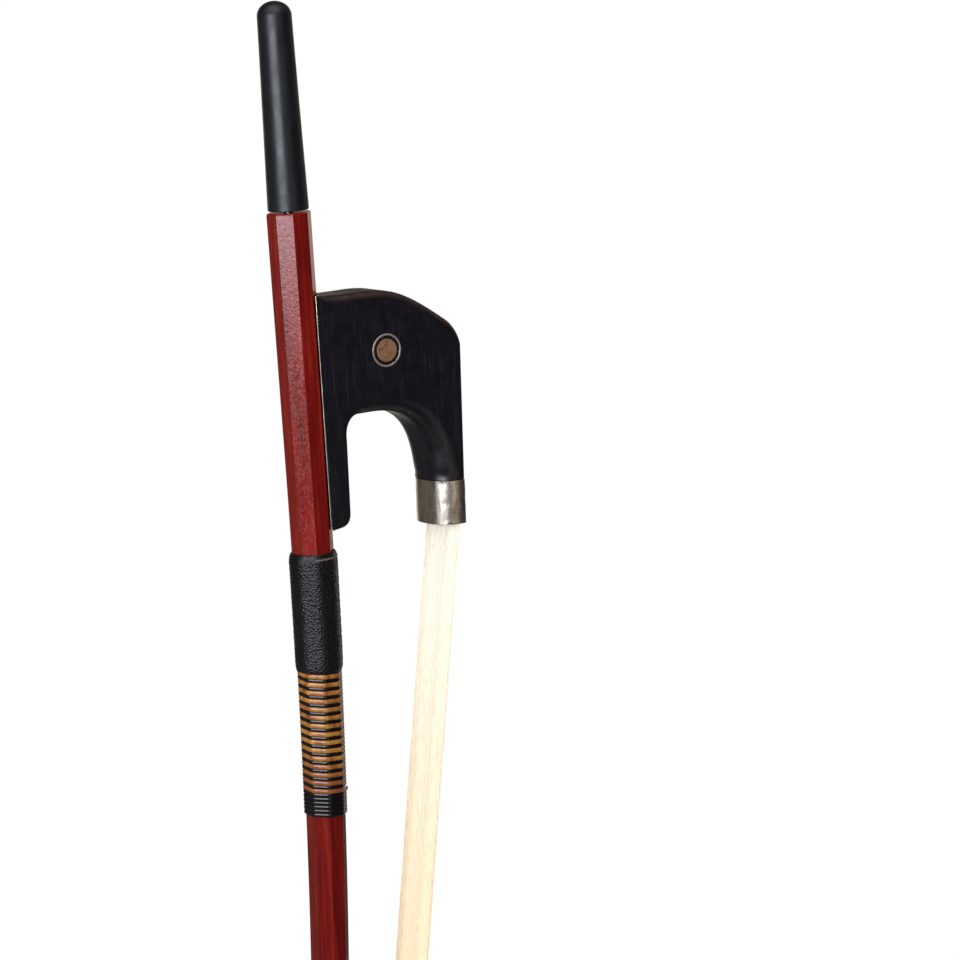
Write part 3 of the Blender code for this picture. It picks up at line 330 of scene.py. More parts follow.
@dataclass(frozen=True)
class Abalone:
    """Dark abalone shell, ground flat and polished: brown grey with soft clouds that turn a little green
    and pink."""

    brown: str = "5D4431"
    pale: str = "846244"
    green: str = "6E604C"
    rose: str = "7C5842"
    cloud_mm: tuple[float, float, float] = (1.5, 1.9, 1.9)

    def material(self) -> bpy.types.Material:
        """Build the material."""
        mat, tree, shader = blank("polished_abalone", IOR=1.53, Roughness=0.20, Coat_Weight=0.3)
        place = add(tree, "ShaderNodeTexCoord").outputs["Object"]
        scale = per_mm(*self.cloud_mm)
        layers = add(tree, "ShaderNodeMapping", {"Vector": place, "Scale": scale}).outputs[0]
        inputs = {"Vector": layers, "Scale": 1.0, "Detail": 3.0, "Distortion": 1.2}
        cloud = add(tree, "ShaderNodeTexNoise", inputs).outputs["Fac"]
        stops = ((0.30, colour(self.brown)), (0.45, colour(self.rose)), (0.56, colour(self.pale)),
                 (0.70, colour(self.green)))
        shell = add(tree, "ShaderNodeValToRGB", {"Fac": cloud}, stops=stops).outputs["Color"]
        tree.links.new(shell, shader.inputs["Base Color"])
        return mat


@dataclass(frozen=True)
class Bone:
    """Bleached bone plate, filed and polished: warm white with faint short pores along it."""

    pale: str = "EFE7D4"
    pore: str = "CDBE9F"
    pore_mm: tuple[float, float, float] = (1.6, 0.18, 0.18)

    def material(self) -> bpy.types.Material:
        """Build the material."""
        mat, tree, shader = blank("polished_bone", IOR=1.54, Roughness=0.32)
        place = add(tree, "ShaderNodeTexCoord").outputs["Object"]
        along = add(tree, "ShaderNodeMapping", {"Vector": place, "Scale": per_mm(*self.pore_mm)}).outputs[0]
        pores = add(tree, "ShaderNodeTexNoise", {"Vector": along, "Scale": 1.0, "Detail": 2.0}).outputs["Fac"]
        stops = ((0.52, colour(self.pale)), (0.74, colour(self.pore)))
        shade = add(tree, "ShaderNodeValToRGB", {"Fac": pores}, stops=stops).outputs["Color"]
        tree.links.new(shade, shader.inputs["Base Color"])
        return mat


@dataclass(frozen=True)
class CutMaple:
    """Maple cut with a chisel: pale, matt, with fine grain."""

    pale: str = "D8BC90"
    dark: str = "B89566"
    grain_mm: tuple[float, float, float] = (5.0, 0.4, 0.4)

    def material(self) -> bpy.types.Material:
        """Build the material."""
        mat, tree, shader = blank("cut_maple", Roughness=0.65)
        place = add(tree, "ShaderNodeTexCoord").outputs["Object"]
        along = add(tree, "ShaderNodeMapping", {"Vector": place, "Scale": per_mm(*self.grain_mm)}).outputs[0]
        grain = add(tree, "ShaderNodeTexNoise", {"Vector": along, "Scale": 1.0, "Detail": 3.0}).outputs["Fac"]
        stops = ((0.35, colour(self.dark)), (0.60, colour(self.pale)))
        shade = add(tree, "ShaderNodeValToRGB", {"Fac": grain}, stops=stops).outputs["Color"]
        tree.links.new(shade, shader.inputs["Base Color"])
        return mat


@dataclass(frozen=True)
class Horsehair:
    """White horsehair, combed flat: nearly white at the frog and creamier where rosin has been rubbed in,
    with fine browner streaks from one hair to the next."""

    pale: str = "F7F2E3"
    cream: str = "F3EAD5"
    brown: str = "E2D4B8"
    rosin: str = "FFF3DF"
    rosin_start: float = 0.105
    rosin_full: float = 0.240
    hair_mm: tuple[float, float, float] = (90.0, 0.5, 0.22)

    def material(self) -> bpy.types.Material:
        """Build the material."""
        mat, tree, shader = blank("combed_horsehair", IOR=1.54, Roughness=0.42)
        place = add(tree, "ShaderNodeTexCoord").outputs["Object"]
        along = add(tree, "ShaderNodeMapping", {"Vector": place, "Scale": per_mm(*self.hair_mm)}).outputs[0]
        hairs = add(tree, "ShaderNodeTexNoise", {"Vector": along, "Scale": 1.0, "Detail": 2.0}).outputs["Fac"]
        stops = ((0.28, colour(self.brown)), (0.45, colour(self.cream)), (0.62, colour(self.pale)))
        plain = add(tree, "ShaderNodeValToRGB", {"Fac": hairs}, stops=stops).outputs["Color"]
        run = add(tree, "ShaderNodeSeparateXYZ", {0: place}).outputs[0]
        inputs = {"Value": run, "From Min": self.rosin_start + ORIGIN.x,
                  "From Max": self.rosin_full + ORIGIN.x}
        rubbed = add(tree, "ShaderNodeMapRange", inputs, interpolation_type='SMOOTHSTEP').outputs[0]
        inputs = {0: rubbed, 6: plain, 7: colour(self.rosin)}
        shade = add(tree, "ShaderNodeMix", inputs, data_type='RGBA', blend_type='MULTIPLY').outputs[2]
        tree.links.new(shade, shader.inputs["Base Color"])
        return mat


@dataclass(frozen=True)
class PebbledLeather:
    """Thin black goatskin, dyed and glazed: pebbles that shine on top, with dull creases between them that
    are darkened by a painted shade.
    """

    pebble: str = "05070D"
    crease_shade: str = "020204"
    raw: str = "6B6054"
    grain_mm: float = 0.35

    def material(self) -> bpy.types.Material:
        """Build the material."""
        mat, tree, shader = blank("glazed_black_goatskin", IOR=1.48)
        height = add(tree, "ShaderNodeAttribute", attribute_name="pebble").outputs["Fac"]
        # painted shade: the creases are coloured darker than the pebble tops
        stops = ((0.15, colour(self.crease_shade)), (0.75, colour(self.pebble)))
        pebble_and_crease_shade = add(tree, "ShaderNodeValToRGB", {"Fac": height}, stops=stops).outputs["Color"]
        cut = add(tree, "ShaderNodeAttribute", attribute_name="raw_edge").outputs["Fac"]
        inputs = {0: cut, 6: pebble_and_crease_shade, 7: colour(self.raw)}
        shade = add(tree, "ShaderNodeMix", inputs, data_type='RGBA').outputs[2]
        tree.links.new(shade, shader.inputs["Base Color"])
        inputs = {"Value": height, "From Min": 0.1, "From Max": 0.9, "To Min": 0.50, "To Max": 0.22}
        tree.links.new(add(tree, "ShaderNodeMapRange", inputs).outputs[0], shader.inputs["Roughness"])
        place = add(tree, "ShaderNodeTexCoord").outputs["Object"]
        inputs = {"Vector": place, "Scale": per_mm(*[self.grain_mm] * 3)}
        fine = add(tree, "ShaderNodeMapping", inputs).outputs[0]
        grain = add(tree, "ShaderNodeTexNoise", {"Vector": fine, "Scale": 1.0, "Detail": 3.0}).outputs["Fac"]
        inputs = {"Height": grain, "Strength": 0.5, "Distance": 0.00005}
        tree.links.new(add(tree, "ShaderNodeBump", inputs).outputs[0], shader.inputs["Normal"])
        return mat


@dataclass(frozen=True)
class HornStrip:
    """Flat strip of dyed horn-like plastic, drawn tight: glossy, with slow changes of tone along it."""

    name: str
    tone: str
    deep: str
    roughness: float
    browned: tuple[float, float] = (0.1690, 0.1735)   # where along the stick its tone turns deep
    browning: float = 0.0
    cloud_mm: tuple[float, float, float] = (5.0, 2.2, 2.2)

    def material(self) -> bpy.types.Material:
        """Build the material."""
        mat, tree, shader = blank(self.name, IOR=1.52, Roughness=self.roughness)
        place = add(tree, "ShaderNodeTexCoord").outputs["Object"]
        wide = add(tree, "ShaderNodeMapping", {"Vector": place, "Scale": per_mm(*self.cloud_mm)}).outputs[0]
        cloud = add(tree, "ShaderNodeTexNoise", {"Vector": wide, "Scale": 1.0, "Detail": 3.0}).outputs["Fac"]
        stops = ((0.32, colour(self.deep)), (0.62, colour(self.tone)))
        horn = add(tree, "ShaderNodeValToRGB", {"Fac": cloud}, stops=stops).outputs["Color"]
        run = add(tree, "ShaderNodeSeparateXYZ", {0: place}).outputs[0]
        first, last = [ORIGIN.x + end for end in self.browned]
        inputs = {"Value": run, "From Min": first, "From Max": last, "To Max": self.browning}
        old = add(tree, "ShaderNodeMapRange", inputs).outputs[0]
        inputs = {0: old, 6: horn, 7: colour(self.deep)}
        shade = add(tree, "ShaderNodeMix", inputs, data_type='RGBA').outputs[2]
        tree.links.new(shade, shader.inputs["Base Color"])
        inputs = {"Height": cloud, "Strength": 0.3, "Distance": 0.00004}
        tree.links.new(add(tree, "ShaderNodeBump", inputs).outputs[0], shader.inputs["Normal"])
        return mat


class Wardrobe:
    """The finishes, one for each material slot of the record, built once."""

    def __init__(self) -> None:
        """Build every material."""
        finishes = {
            "brazilwood": VarnishedBrazilwood(),
            "ebony": Ebony(Polish.SATIN),
            "polished_ebony": Ebony(Polish.BRIGHT, dark="0A0A0D", light="12131A", streak="181922"),
            "nickel_silver": NickelSilver(),
            "brass": TurnedMetal("turned_brass", "D9B66C", "A37E3E"),
            "steel": TurnedMetal("turned_steel", "B9BABD", "7C7D80"),
            "pearl": Abalone(),
            "bone": Bone(),
            "maple": CutMaple(),
            "horsehair": Horsehair(),
            "leather": PebbledLeather(),
            "tan_strip": HornStrip("tan_horn_strip", "A8752F", "7A4020", 0.25, browning=0.8),
            "black_strip": HornStrip("black_horn_strip", "100F11", "0A090B", 0.17),
        }
        self.materials = {slot: finish.material() for slot, finish in finishes.items()}
        satin = NickelSilver("satin_nickel_silver", "DCD3CA", "B9AEA4", "8A7F76", rough=0.60, gloss=0.50)
        self.eye_metal = satin.material()

    def dress(self, obj: bpy.types.Object, body: Body | None, slot: str, *nodes: str) -> bpy.types.Object:
        """Give a new piece its material, its body and the nodes that it stands for.

        Args:
            obj: The finished piece.
            body: The body that it moves with, or None for a piece that bends between two bodies.
            slot: The record's material slot.
            *nodes: The CAD nodes that it replaces.

        Returns:
            The piece.
        """
        obj.data.materials.clear()
        obj.data.materials.append(self.materials[slot])
        if body:
            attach(obj, body.value)
        if nodes:
            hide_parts(*nodes)
        LOG.info("%s: %d faces, %s", obj.name, len(obj.data.polygons), slot)
        return obj

    def repaint(self, node: str, slot: str) -> None:
        """Give a CAD node that stays its material."""
        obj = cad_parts[node]
        for place in obj.material_slots:
            place.material = self.materials[slot]
        LOG.info("%s: CAD node kept, %s", node, slot)


# Meshes

def loft(rings: list[list[Vector]], ring_is_loop: bool = False) -> bmesh.types.BMesh:
    """Skin rings of equal count.

    Args:
        rings: Rings of points in bow coordinates.
        ring_is_loop: Whether the last ring joins the first, in place of two caps.

    Returns:
        The closed mesh.
    """
    bm = bmesh.new()
    rows = [[bm.verts.new(p) for p in ring] for ring in rings]
    pairs = list(zip(rows, rows[1:]))
    if ring_is_loop:
        pairs.append((rows[-1], rows[0]))
    else:
        bm.faces.new(rows[0])
        bm.faces.new(rows[-1])
    for low, high in pairs:
        for i in range(len(low)):
            j = (i + 1) % len(low)
            bm.faces.new((low[i], low[j], high[j], high[i]))
    return bm


def turned(profile: list[tuple[float, float]], steps: int) -> bmesh.types.BMesh:
    """Turn (x, radius) points about X; the first and last radius are zero."""
    bm = bmesh.new()
    first = bm.verts.new((profile[0][0], 0, 0))
    last = bm.verts.new((profile[-1][0], 0, 0))
    turns = [2 * math.pi * i / steps for i in range(steps)]
    rows = [[bm.verts.new((x, r * math.cos(t), r * math.sin(t))) for t in turns] for x, r in profile[1:-1]]
    for i in range(steps):
        j = (i + 1) % steps
        bm.faces.new((first, rows[0][j], rows[0][i]))
        bm.faces.new((last, rows[-1][i], rows[-1][j]))
        for low, high in zip(rows, rows[1:]):
            bm.faces.new((low[i], low[j], high[j], high[i]))
    return bm


def rod(start: Vector, end: Vector, radius: float, steps: int = 48) -> bmesh.types.BMesh:
    """A plain cylinder between two points."""
    axis = end - start
    bm = bmesh.new()
    turn = axis.to_track_quat('Z', 'Y').to_matrix().to_4x4()
    bmesh.ops.create_cone(bm, cap_ends=True, segments=steps, radius1=radius, radius2=radius,
                          depth=axis.length, matrix=Matrix.Translation((start + end) / 2) @ turn)
    return bm


def box(start: Vector, end: Vector) -> bmesh.types.BMesh:
    """A block between two opposite corners."""
    bm = bmesh.new()
    size = Matrix.Diagonal((*(end - start), 1.0))
    bmesh.ops.create_cube(bm, size=1.0, matrix=Matrix.Translation((start + end) / 2) @ size)
    return bm


def bezier(start: Vector, handle_a: Vector, handle_b: Vector, end: Vector, count: int) -> list[Vector]:
    """Points on a cubic curve in the XY plane, without its last point."""
    points = interpolate_bezier(*[Vector(p).to_3d() for p in (start, handle_a, handle_b, end)], count + 1)
    return [p.to_2d() for p in points[:-1]]


def read_between(value: float, places: list[tuple[float, float]]) -> float:
    """Read a value between the (place, value) pairs that bracket it."""
    for (x0, y0), (x1, y1) in zip(places, places[1:]):
        if value <= x1:
            break
    return y0 + (y1 - y0) * (value - x0) / (x1 - x0)


def round_edges(bm: bmesh.types.BMesh, width: float, angle: float, segments: int = 2,
                least: float = 0.0) -> None:
    """Round every edge of a mesh that is sharper than an angle in degrees and longer than a least length."""
    sharp = math.radians(angle)
    edges = [e for e in bm.edges
             if e.is_manifold and e.calc_face_angle(0.0) > sharp and e.calc_length() > least]
    bmesh.ops.bevel(bm, geom=edges, offset=width, segments=segments, profile=0.5, affect='EDGES',
                    clamp_overlap=True)


def piece(name: str, bm: bmesh.types.BMesh, placed: bool = False) -> bpy.types.Object:
    """Turn a mesh into an object with its place in its mesh.

    Args:
        name: The piece's name.
        bm: The mesh, which is freed.
        placed: Whether it is in the frame's coordinates already.

    Returns:
        The object, faces out.
    """
    if not placed:
        bmesh.ops.translate(bm, verts=bm.verts, vec=ORIGIN)
    bmesh.ops.recalc_face_normals(bm, faces=bm.faces)
    mesh = bpy.data.meshes.new(name)
    bm.to_mesh(mesh)
    bm.free()
    obj = bpy.data.objects.new(name, mesh)
    bpy.context.collection.objects.link(obj)
    return obj


def smooth(obj: bpy.types.Object, angle: float = 30.0) -> bpy.types.Object:
    """Shade a piece smooth up to an angle in degrees, with flat faces kept flat."""
    mesh = obj.data
    if "custom_normal" in mesh.attributes:
        mesh.attributes.remove(mesh.attributes["custom_normal"])
    mesh.shade_smooth()
    mesh.set_sharp_from_angle(angle=math.radians(angle))
    even = obj.modifiers.new("even", 'WEIGHTED_NORMAL')
    even.keep_sharp = True
    return settled(obj)


def settled(obj: bpy.types.Object) -> bpy.types.Object:
    """Turn what a piece's modifiers make into its plain mesh."""
    graph = bpy.context.evaluated_depsgraph_get()
    mesh = bpy.data.meshes.new_from_object(obj.evaluated_get(graph))
    obj.modifiers.clear()
    obj.data = mesh
    mesh.name = obj.name
    return obj


def carve(obj: bpy.types.Object, tools: list[tuple[str, bmesh.types.BMesh]]) -> bpy.types.Object:
    """Cut and join solids on a piece, in order.

    Args:
        obj: The piece.
        tools: The Boolean's operation and the tool's mesh in bow coordinates, for each cut.

    Returns:
        The piece.
    """
    helpers = []
    for operation, bm in tools:
        helper = piece("helper", bm)
        helper.hide_render = True
        mod = obj.modifiers.new("cut", 'BOOLEAN')
        mod.object, mod.operation, mod.solver = helper, operation, 'EXACT'
        helpers.append(helper)
    settled(obj)
    for helper in helpers:
        bpy.data.objects.remove(helper, do_unlink=True)
    return obj


def softened(node: str, name: str, width: float, segments: int = 2, least: float = 0.0) -> bpy.types.Object:
    """Copy a CAD node's mesh as a new piece with rounded edges.

    Args:
        node: The CAD node.
        name: The new piece's name.
        width: How far the rounding reaches, in metres.
        segments: How many faces round an edge.
        least: Edges shorter than this stay sharp.

    Returns:
        The new piece.
    """
    bm = bmesh.new()
    bm.from_mesh(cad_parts[node].data)
    bmesh.ops.remove_doubles(bm, verts=bm.verts, dist=1e-6)
    bmesh.ops.dissolve_limit(bm, angle_limit=math.radians(1), verts=bm.verts, edges=bm.edges)
    round_edges(bm, width, 30.0, segments, least)
    return smooth(piece(name, bm, placed=True))


# The stick's line

@dataclass(frozen=True)
class Place:
    """A spot on the stick's axis with the directions along it and out towards the hair."""

    origin: Vector
    ahead: Vector
    out: Vector

    def put(self, along: float, out: float, side: float) -> Vector:
        """A point given along, out from and across this place."""
        return self.origin + self.ahead * along + self.out * out + Vector((0, 0, side))


@dataclass(frozen=True)
class StickLine:
    """The stick's axis and width across flats: straight at the handle, then cambered away from the hair."""

    widths: tuple[tuple[float, float], ...] = (
        (0.0, 0.0125), (0.100, 0.01206), (0.260, 0.0109), (0.640, 0.0086))
    camber_start: float = 0.080
    camber_radius: float = 2.5
    head_start: float = 0.640

    def width(self, x: float) -> float:
        """Width across flats at a place."""
        return read_between(x, self.widths)

    def at(self, x: float) -> Place:
        """The spot on the axis at a place."""
        bent = max(x - self.camber_start, 0.0)
        along = Vector((1.0, -bent / self.camber_radius, 0.0)).normalized()
        origin = Vector((x, -bent * bent / (2 * self.camber_radius), 0.0))
        return Place(origin, along, Vector((-along.y, along.x, 0.0)))


LINE = StickLine()


@dataclass(frozen=True)
class RoundedOctagon:
    """The outline of what is wrapped round the stick's facets."""

    flat: float       # from the axis to a facet
    radius: float     # of the corners

    def at(self, share: float) -> tuple[Vector, Vector]:
        """Read the outline.

        Args:
            share: Share of the way round, from the middle of the facet under the hair towards +Z.

        Returns:
            The point and the direction away from the stick, as (out, side).
        """
        core = self.flat - self.radius
        side = 2 * core * OCTAGON_SHARE
        arc = self.radius * math.pi / 4
        place = (share % 1.0) * 8
        facet = int(place)
        run = (place - facet) * (side + arc)
        turn = min(max((run - side / 2) / self.radius, 0.0), math.pi / 4)
        slip = min(run, side / 2)
        angle = facet * math.pi / 4
        if run > side / 2 + arc:
            slip = run - side - arc
            angle += math.pi / 4
            turn = 0.0
        n, z = math.cos(angle), math.sin(angle)
        away = Vector((math.cos(angle + turn), math.sin(angle + turn)))
        return Vector((n * core - z * slip, z * core + n * slip)) + away * self.radius, away


# Stick and head

@dataclass
class HeadShape:
    """The head's form, in its own directions: along the stick, out towards the hair and across."""

    depth: float = 0.0182
    half_width: float = 0.0063
    back: float = 0.020
    nose: float = 0.0416
    heel: float = 0.0116
    chamfer: float = 0.80
    ridge: float = 0.13
    full_width_share: float = 0.35
    ridge_handles: tuple[float, float] = (0.031, 0.0355)    # along the stick
    ridge_rise: float = 0.5
    rear_handles: tuple[float, float] = (0.013, 0.015)
    rear_rise: float = 0.66
    rear_lift: float = 0.0005
    liner: float = 0.0008
    plate: float = 0.0016
    mortise_start: float = 0.0150
    mortise_length: float = 0.0085
    mortise_depth: float = 0.0080
    mortise_half_width: float = 0.0042
    levels: int = 20
    plan: int = 18

    def __post_init__(self) -> None:
        """Work out the head's two profile curves."""
        self.place = LINE.at(LINE.head_start)
        self.flat = LINE.width(LINE.head_start) / 2
        flat, depth = self.flat, self.depth
        first, second = self.ridge_handles
        ridge = bezier((self.back, -flat), (first, -flat), (second, self.ridge_rise * depth),
                       (self.nose, depth), 48)
        first, second = self.rear_handles
        rear = bezier((0.0, flat), (first, flat + self.rear_lift), (second, self.rear_rise * depth),
                      (self.heel, depth), 48)
        self.front_curve = [(p.y, p.x) for p in ridge] + [(depth, self.nose)]
        self.rear_curve = [(p.y, p.x) for p in rear] + [(depth, self.heel)]
        self.plate_face = depth + 2 * GLUE_GAP + self.liner + self.plate

    def side(self, level: float, share: float) -> list[tuple[float, float]]:
        """Plan points of one level of the head.

        Args:
            level: Height out from the stick's axis.
            share: Its place from belly, zero, to plate, one; below zero it is in the stick's own section.

        Returns:
            (along, half width) points from the rear to the front.
        """
        front = read_between(level, self.front_curve)
        back = read_between(level, self.rear_curve) if share > 0 else 0.0
        belly = self.flat * OCTAGON_SHARE
        full = self.flat + (self.half_width - self.flat) * max(share, 0.0) ** 0.7
        if level < -0.9 * self.flat:
            full = belly
        side = []
        for i in range(self.plan + 1):
            f = 1 - (1 - i / self.plan) ** 1.6
            closing = max(f - self.full_width_share, 0.0) / (1 - self.full_width_share)
            half = full * (self.ridge + (1 - self.ridge) * (1 - closing ** 2.2))
            if share >= 0 and i < 2:
                edge = belly + (self.chamfer * full - belly) * min(share / 0.3, 1.0)
                half = edge if i == 0 else half
            side.append((back + (front - back) * f, half))
        return side

    def all_levels(self) -> list[tuple[float, float]]:
        """(level, share) from the stick's back to the wood under the tip plate."""
        corner = self.flat * OCTAGON_SHARE
        upper = [(-self.flat, -1.0), (-corner, -1.0), (corner, -1.0), (self.flat, 0.0)]
        shares = [((i + 1) / self.levels) ** 1.7 for i in range(self.levels)]
        return upper + [(self.flat + (self.depth - self.flat) * s, s) for s in shares]

    def block(self, start: float, end: float, bottom: float, top: float, half: float) -> bmesh.types.BMesh:
        """A block in the head's directions."""
        rings = []
        for along in (start, end):
            corners = ((bottom, -half), (bottom, half), (top, half), (top, -half))
            rings.append([self.place.put(along, out, side) for out, side in corners])
        return loft(rings)

    def mortise(self) -> bmesh.types.BMesh:
        """The cutter of the mortise in the head's face."""
        end = self.mortise_start + self.mortise_length
        return self.block(self.mortise_start, end, self.depth - self.mortise_depth,
                          self.plate_face + CUT_MARGIN, self.mortise_half_width)


@dataclass
class Stick:
    """Stick and head from one piece of wood, planed to eight facets with slightly eased edges."""

    head: HeadShape
    butt_bevel: float = 0.0005
    edge: float = 0.00042
    stations: int = 64
    bore_radius: float = 0.0018
    bore_end: float = 0.0735
    # the eyelet's slot: start, end, bottom and half width
    slot: tuple[float, float, float, float] = (0.0365, 0.0535, -0.0030, 0.0024)

    def build(self, wardrobe: Wardrobe) -> None:
        """Make and dress the stick."""
        bm = bmesh.new()
        length = LINE.head_start - LINE.camber_start
        bend = [LINE.camber_start + length * i / self.stations for i in range(self.stations)]
        places = [(0.0, LINE.width(0.0) - 2 * self.butt_bevel), (self.butt_bevel, LINE.width(0.0))]
        places += [(x, LINE.width(x)) for x in sorted([0.03, 0.06, *bend])]
        rows = []
        for x, width in places:
            flat, corner = width / 2, width / 2 * OCTAGON_SHARE
            right = [(-flat, corner), (-corner, flat), (corner, flat), (flat, corner)]
            ring = right + [(n, -z) for n, z in reversed(right)]
            rows.append([bm.verts.new(LINE.at(x).put(0, n, z)) for n, z in ring])

        put = self.head.place.put
        right, left = [], []
        for level, share in self.head.all_levels():
            side = self.head.side(level, share)
            right.append([bm.verts.new(put(s, level, w)) for s, w in side])
            left.append([bm.verts.new(put(s, level, -w)) for s, w in side])
        rows.append([row[0] for row in right[:4]] + [row[0] for row in reversed(left[:4])])
        bm.faces.new(rows[0])
        for low, high in zip(rows, rows[1:]):
            for i in range(8):
                j = (i + 1) % 8
                bm.faces.new((low[i], low[j], high[j], high[i]))
        last = self.head.plan
        for k in range(len(right) - 1):
            for half in (right, left):
                for j in range(last):
                    bm.faces.new((half[k][j], half[k][j + 1], half[k + 1][j + 1], half[k + 1][j]))
            bm.faces.new((right[k][last], left[k][last], left[k + 1][last], right[k + 1][last]))
            if k >= 3:
                bm.faces.new((right[k][0], left[k][0], left[k + 1][0], right[k + 1][0]))
        for k in (0, -1):
            for j in range(last):
                bm.faces.new((right[k][j], right[k][j + 1], left[k][j + 1], left[k][j]))
        bmesh.ops.recalc_face_normals(bm, faces=bm.faces)
        round_edges(bm, self.edge, 24.0)

        start, end, bottom, half = self.slot
        bore = rod(Vector((-CUT_MARGIN, 0, 0)), Vector((self.bore_end, 0, 0)), self.bore_radius)
        slot = box(Vector((start, bottom, -half)), Vector((end, LINE.width(0) / 2 + CUT_MARGIN, half)))
        stick = carve(piece("bow_stick", bm), [('DIFFERENCE', bore), ('DIFFERENCE', slot),
                                               ('DIFFERENCE', self.head.mortise())])
        wardrobe.dress(smooth(stick), Body.STICK, "brazilwood", "stick")


@dataclass
class HeadFittings:
    """The plates on the head's face, and what locks the hair in the head."""

    edge: float = 0.00015

    def build(self, wardrobe: Wardrobe) -> None:
        """Make and dress the fittings."""
        for node, name, slot in (("head_liner", "ebony_liner", "ebony"),
                                 ("tip_plate", "bone_tip_plate", "bone"),
                                 ("head_plug", "maple_head_plug", "maple")):
            wardrobe.dress(softened(node, name, self.edge), Body.STICK, slot, node)
        wardrobe.repaint("head_knot", "horsehair")


# Frog

@dataclass
class FrogShape:
    """The frog's form: a deep block of ebony with a throat for the fingers."""

    heel: float = 0.0254
    tongue_end: float = 0.0970
    top: float = 0.0033
    half_width: float = 0.00675
    flare: float = 0.058
    face_start: Vector = field(default_factory=lambda: Vector((0.0468, 0.05357)))
    face_slope: float = -0.0386
    heel_curve: tuple[tuple[float, float], ...] = ((0.0005, 0.0070), (0.0020, 0.0276), (-0.0024, 0.0291))
    hip: Vector = field(default_factory=lambda: Vector((0.0382, 0.0494)))
    hip_handle: float = 0.0030
    face_handle: float = 0.0029
    throat_top: float = 0.0634
    throat_high: float = 0.0207         # how far out its straight top reaches
    throat_handle: float = 0.0391
    limb_handle: tuple[float, float] = (0.0739, 0.0002)
    # from where the throat's top would meet the tongue, along and out
    throat_corner: tuple[tuple[float, float], ...] = (
        (0.0, 0.0058), (0.0, 0.0020), (0.0033, 0.0001), (0.0070, 0.0))
    # from where the tongue's side would meet its end, along and out
    nose_curve: tuple[tuple[float, float], ...] = (
        (-0.0046, -0.0005), (-0.0020, -0.0006), (-0.0003, -0.0015), (-0.0001, -0.0045))
    tongue_depth: float = 0.0110
    limb_depth: float = 0.0096
    limb_land: float = 0.001      # of even section before the ferrule
    limb_core: float = 0.0003     # left flat between the limb's roundings
    rim_round: float = 0.0001     # of the corners along the stick
    edge_round: float = 0.0013
    heel_round: float = 0.0026
    hip_round: float = 0.0030
    throat_round: float = 0.0040
    square: float = 0.87          # power of the sines in the D section: 1 is an ellipse, less is squarer
    rings: int = 8
    ferrule_start: float = 0.0887
    ferrule_length: float = 0.0137
    ferrule_half_width: float = 0.0094
    ferrule_wall: float = 0.0006
    ferrule_corner: float = 0.0009
    neck_length: float = 0.0118
    lining: float = 0.0005
    wedge: float = 0.0017
    pearl: float = 0.0009
    backing: float = 0.0008
    slide_start: float = 0.0540
    slide_half_width: float = 0.0046
    dovetail: float = 0.0005
    hair_depth: float = 0.0026
    hair_thickness: float = 0.0009
    # the hair's mortise: start, end, depth and half width
    mortise: tuple[float, float, float, float] = (0.0640, 0.0740, 0.0100, 0.0049)
    eye: Vector = field(default_factory=lambda: Vector((0.0448, 0.0266)))

    def half(self, y: float) -> float:
        """Half the frog's width at a depth from the stick."""
        return self.half_width + self.flare * (y - self.top)

    def under_face(self, x: float, depth: float, side: float = 0.0) -> Vector:
        """A point under the frog's outer face, at a depth square to it."""
        slope = Vector((1.0, self.face_slope)).normalized()
        y = self.face_start.y + self.face_slope * (x - self.face_start.x)
        return Vector((x + slope.y * depth, y - slope.x * depth, side))

    def outline(self) -> list[tuple[Vector, float, float, float]]:
        """Outline points, each with how far its rounding reaches in and down, and its sines' power."""
        limb_end = self.ferrule_start + self.neck_length + 2 * CUT_MARGIN
        outer_end = self.under_face(limb_end, 0.0).to_2d()
        inner_end = self.under_face(limb_end, self.limb_depth).to_2d()
        inner = self.under_face(self.ferrule_start - self.limb_land, self.limb_depth).to_2d()
        sizes = (self.rim_round, self.heel_round, self.hip_round, self.edge_round, self.throat_round)
        small, heel, turned_over, edge, throat = [(size, size, 1.0) for size in sizes]
        reach = self.limb_depth - self.edge_round - self.limb_core
        limb = (reach, self.half(inner.y) - self.limb_core, self.square)
        points: list[tuple[Vector, float, float, float]] = []

        def join(group: list[Vector], first: tuple[float, ...], last: tuple[float, ...],
                 power: float = 1.0) -> None:
            """Append points, with their rounding blended from the first value to the last."""
            for i, p in enumerate(group):
                t = (i / len(group)) ** power
                points.append((p, *[a + (b - a) * t for a, b in zip(first, last)]))

        low_heel = [Vector((self.heel + past, out)) for past, out in self.heel_curve]
        past_hip = self.hip + (self.hip - low_heel[-1]).normalized() * self.hip_handle
        before_face = self.face_start - Vector((1.0, self.face_slope)) * self.face_handle
        join([Vector((self.heel, self.top))], small, small)
        join(bezier(*low_heel, self.hip, 32), heel, turned_over)
        join(bezier(self.hip, past_hip, before_face, self.face_start, 21), turned_over, edge)
        join([self.face_start, outer_end], edge, edge)
        points.append((inner_end, *edge))
        points.append((inner, *limb))
        high = Vector((self.throat_top, self.throat_high))
        beside = (self.limb_handle[0], inner.y + self.limb_handle[1])
        bow = bezier(inner, beside, (self.throat_top, self.throat_handle), high, 36)
        join(bow[1:], limb, throat, 0.5)
        join([high], throat, throat)
        meeting = Vector((self.throat_top, self.tongue_depth))
        corner = [meeting + Vector(offset) for offset in self.throat_corner]
        join(bezier(*corner, 15), throat, edge)
        join(corner[-1:], edge, edge)
        meeting = Vector((self.tongue_end, self.tongue_depth))
        nose = [meeting + Vector(offset) for offset in self.nose_curve]
        join(bezier(*nose, 15), edge, edge)
        join(nose[-1:], edge, edge)
        join([Vector((self.tongue_end, self.top))], small, small)
        return points

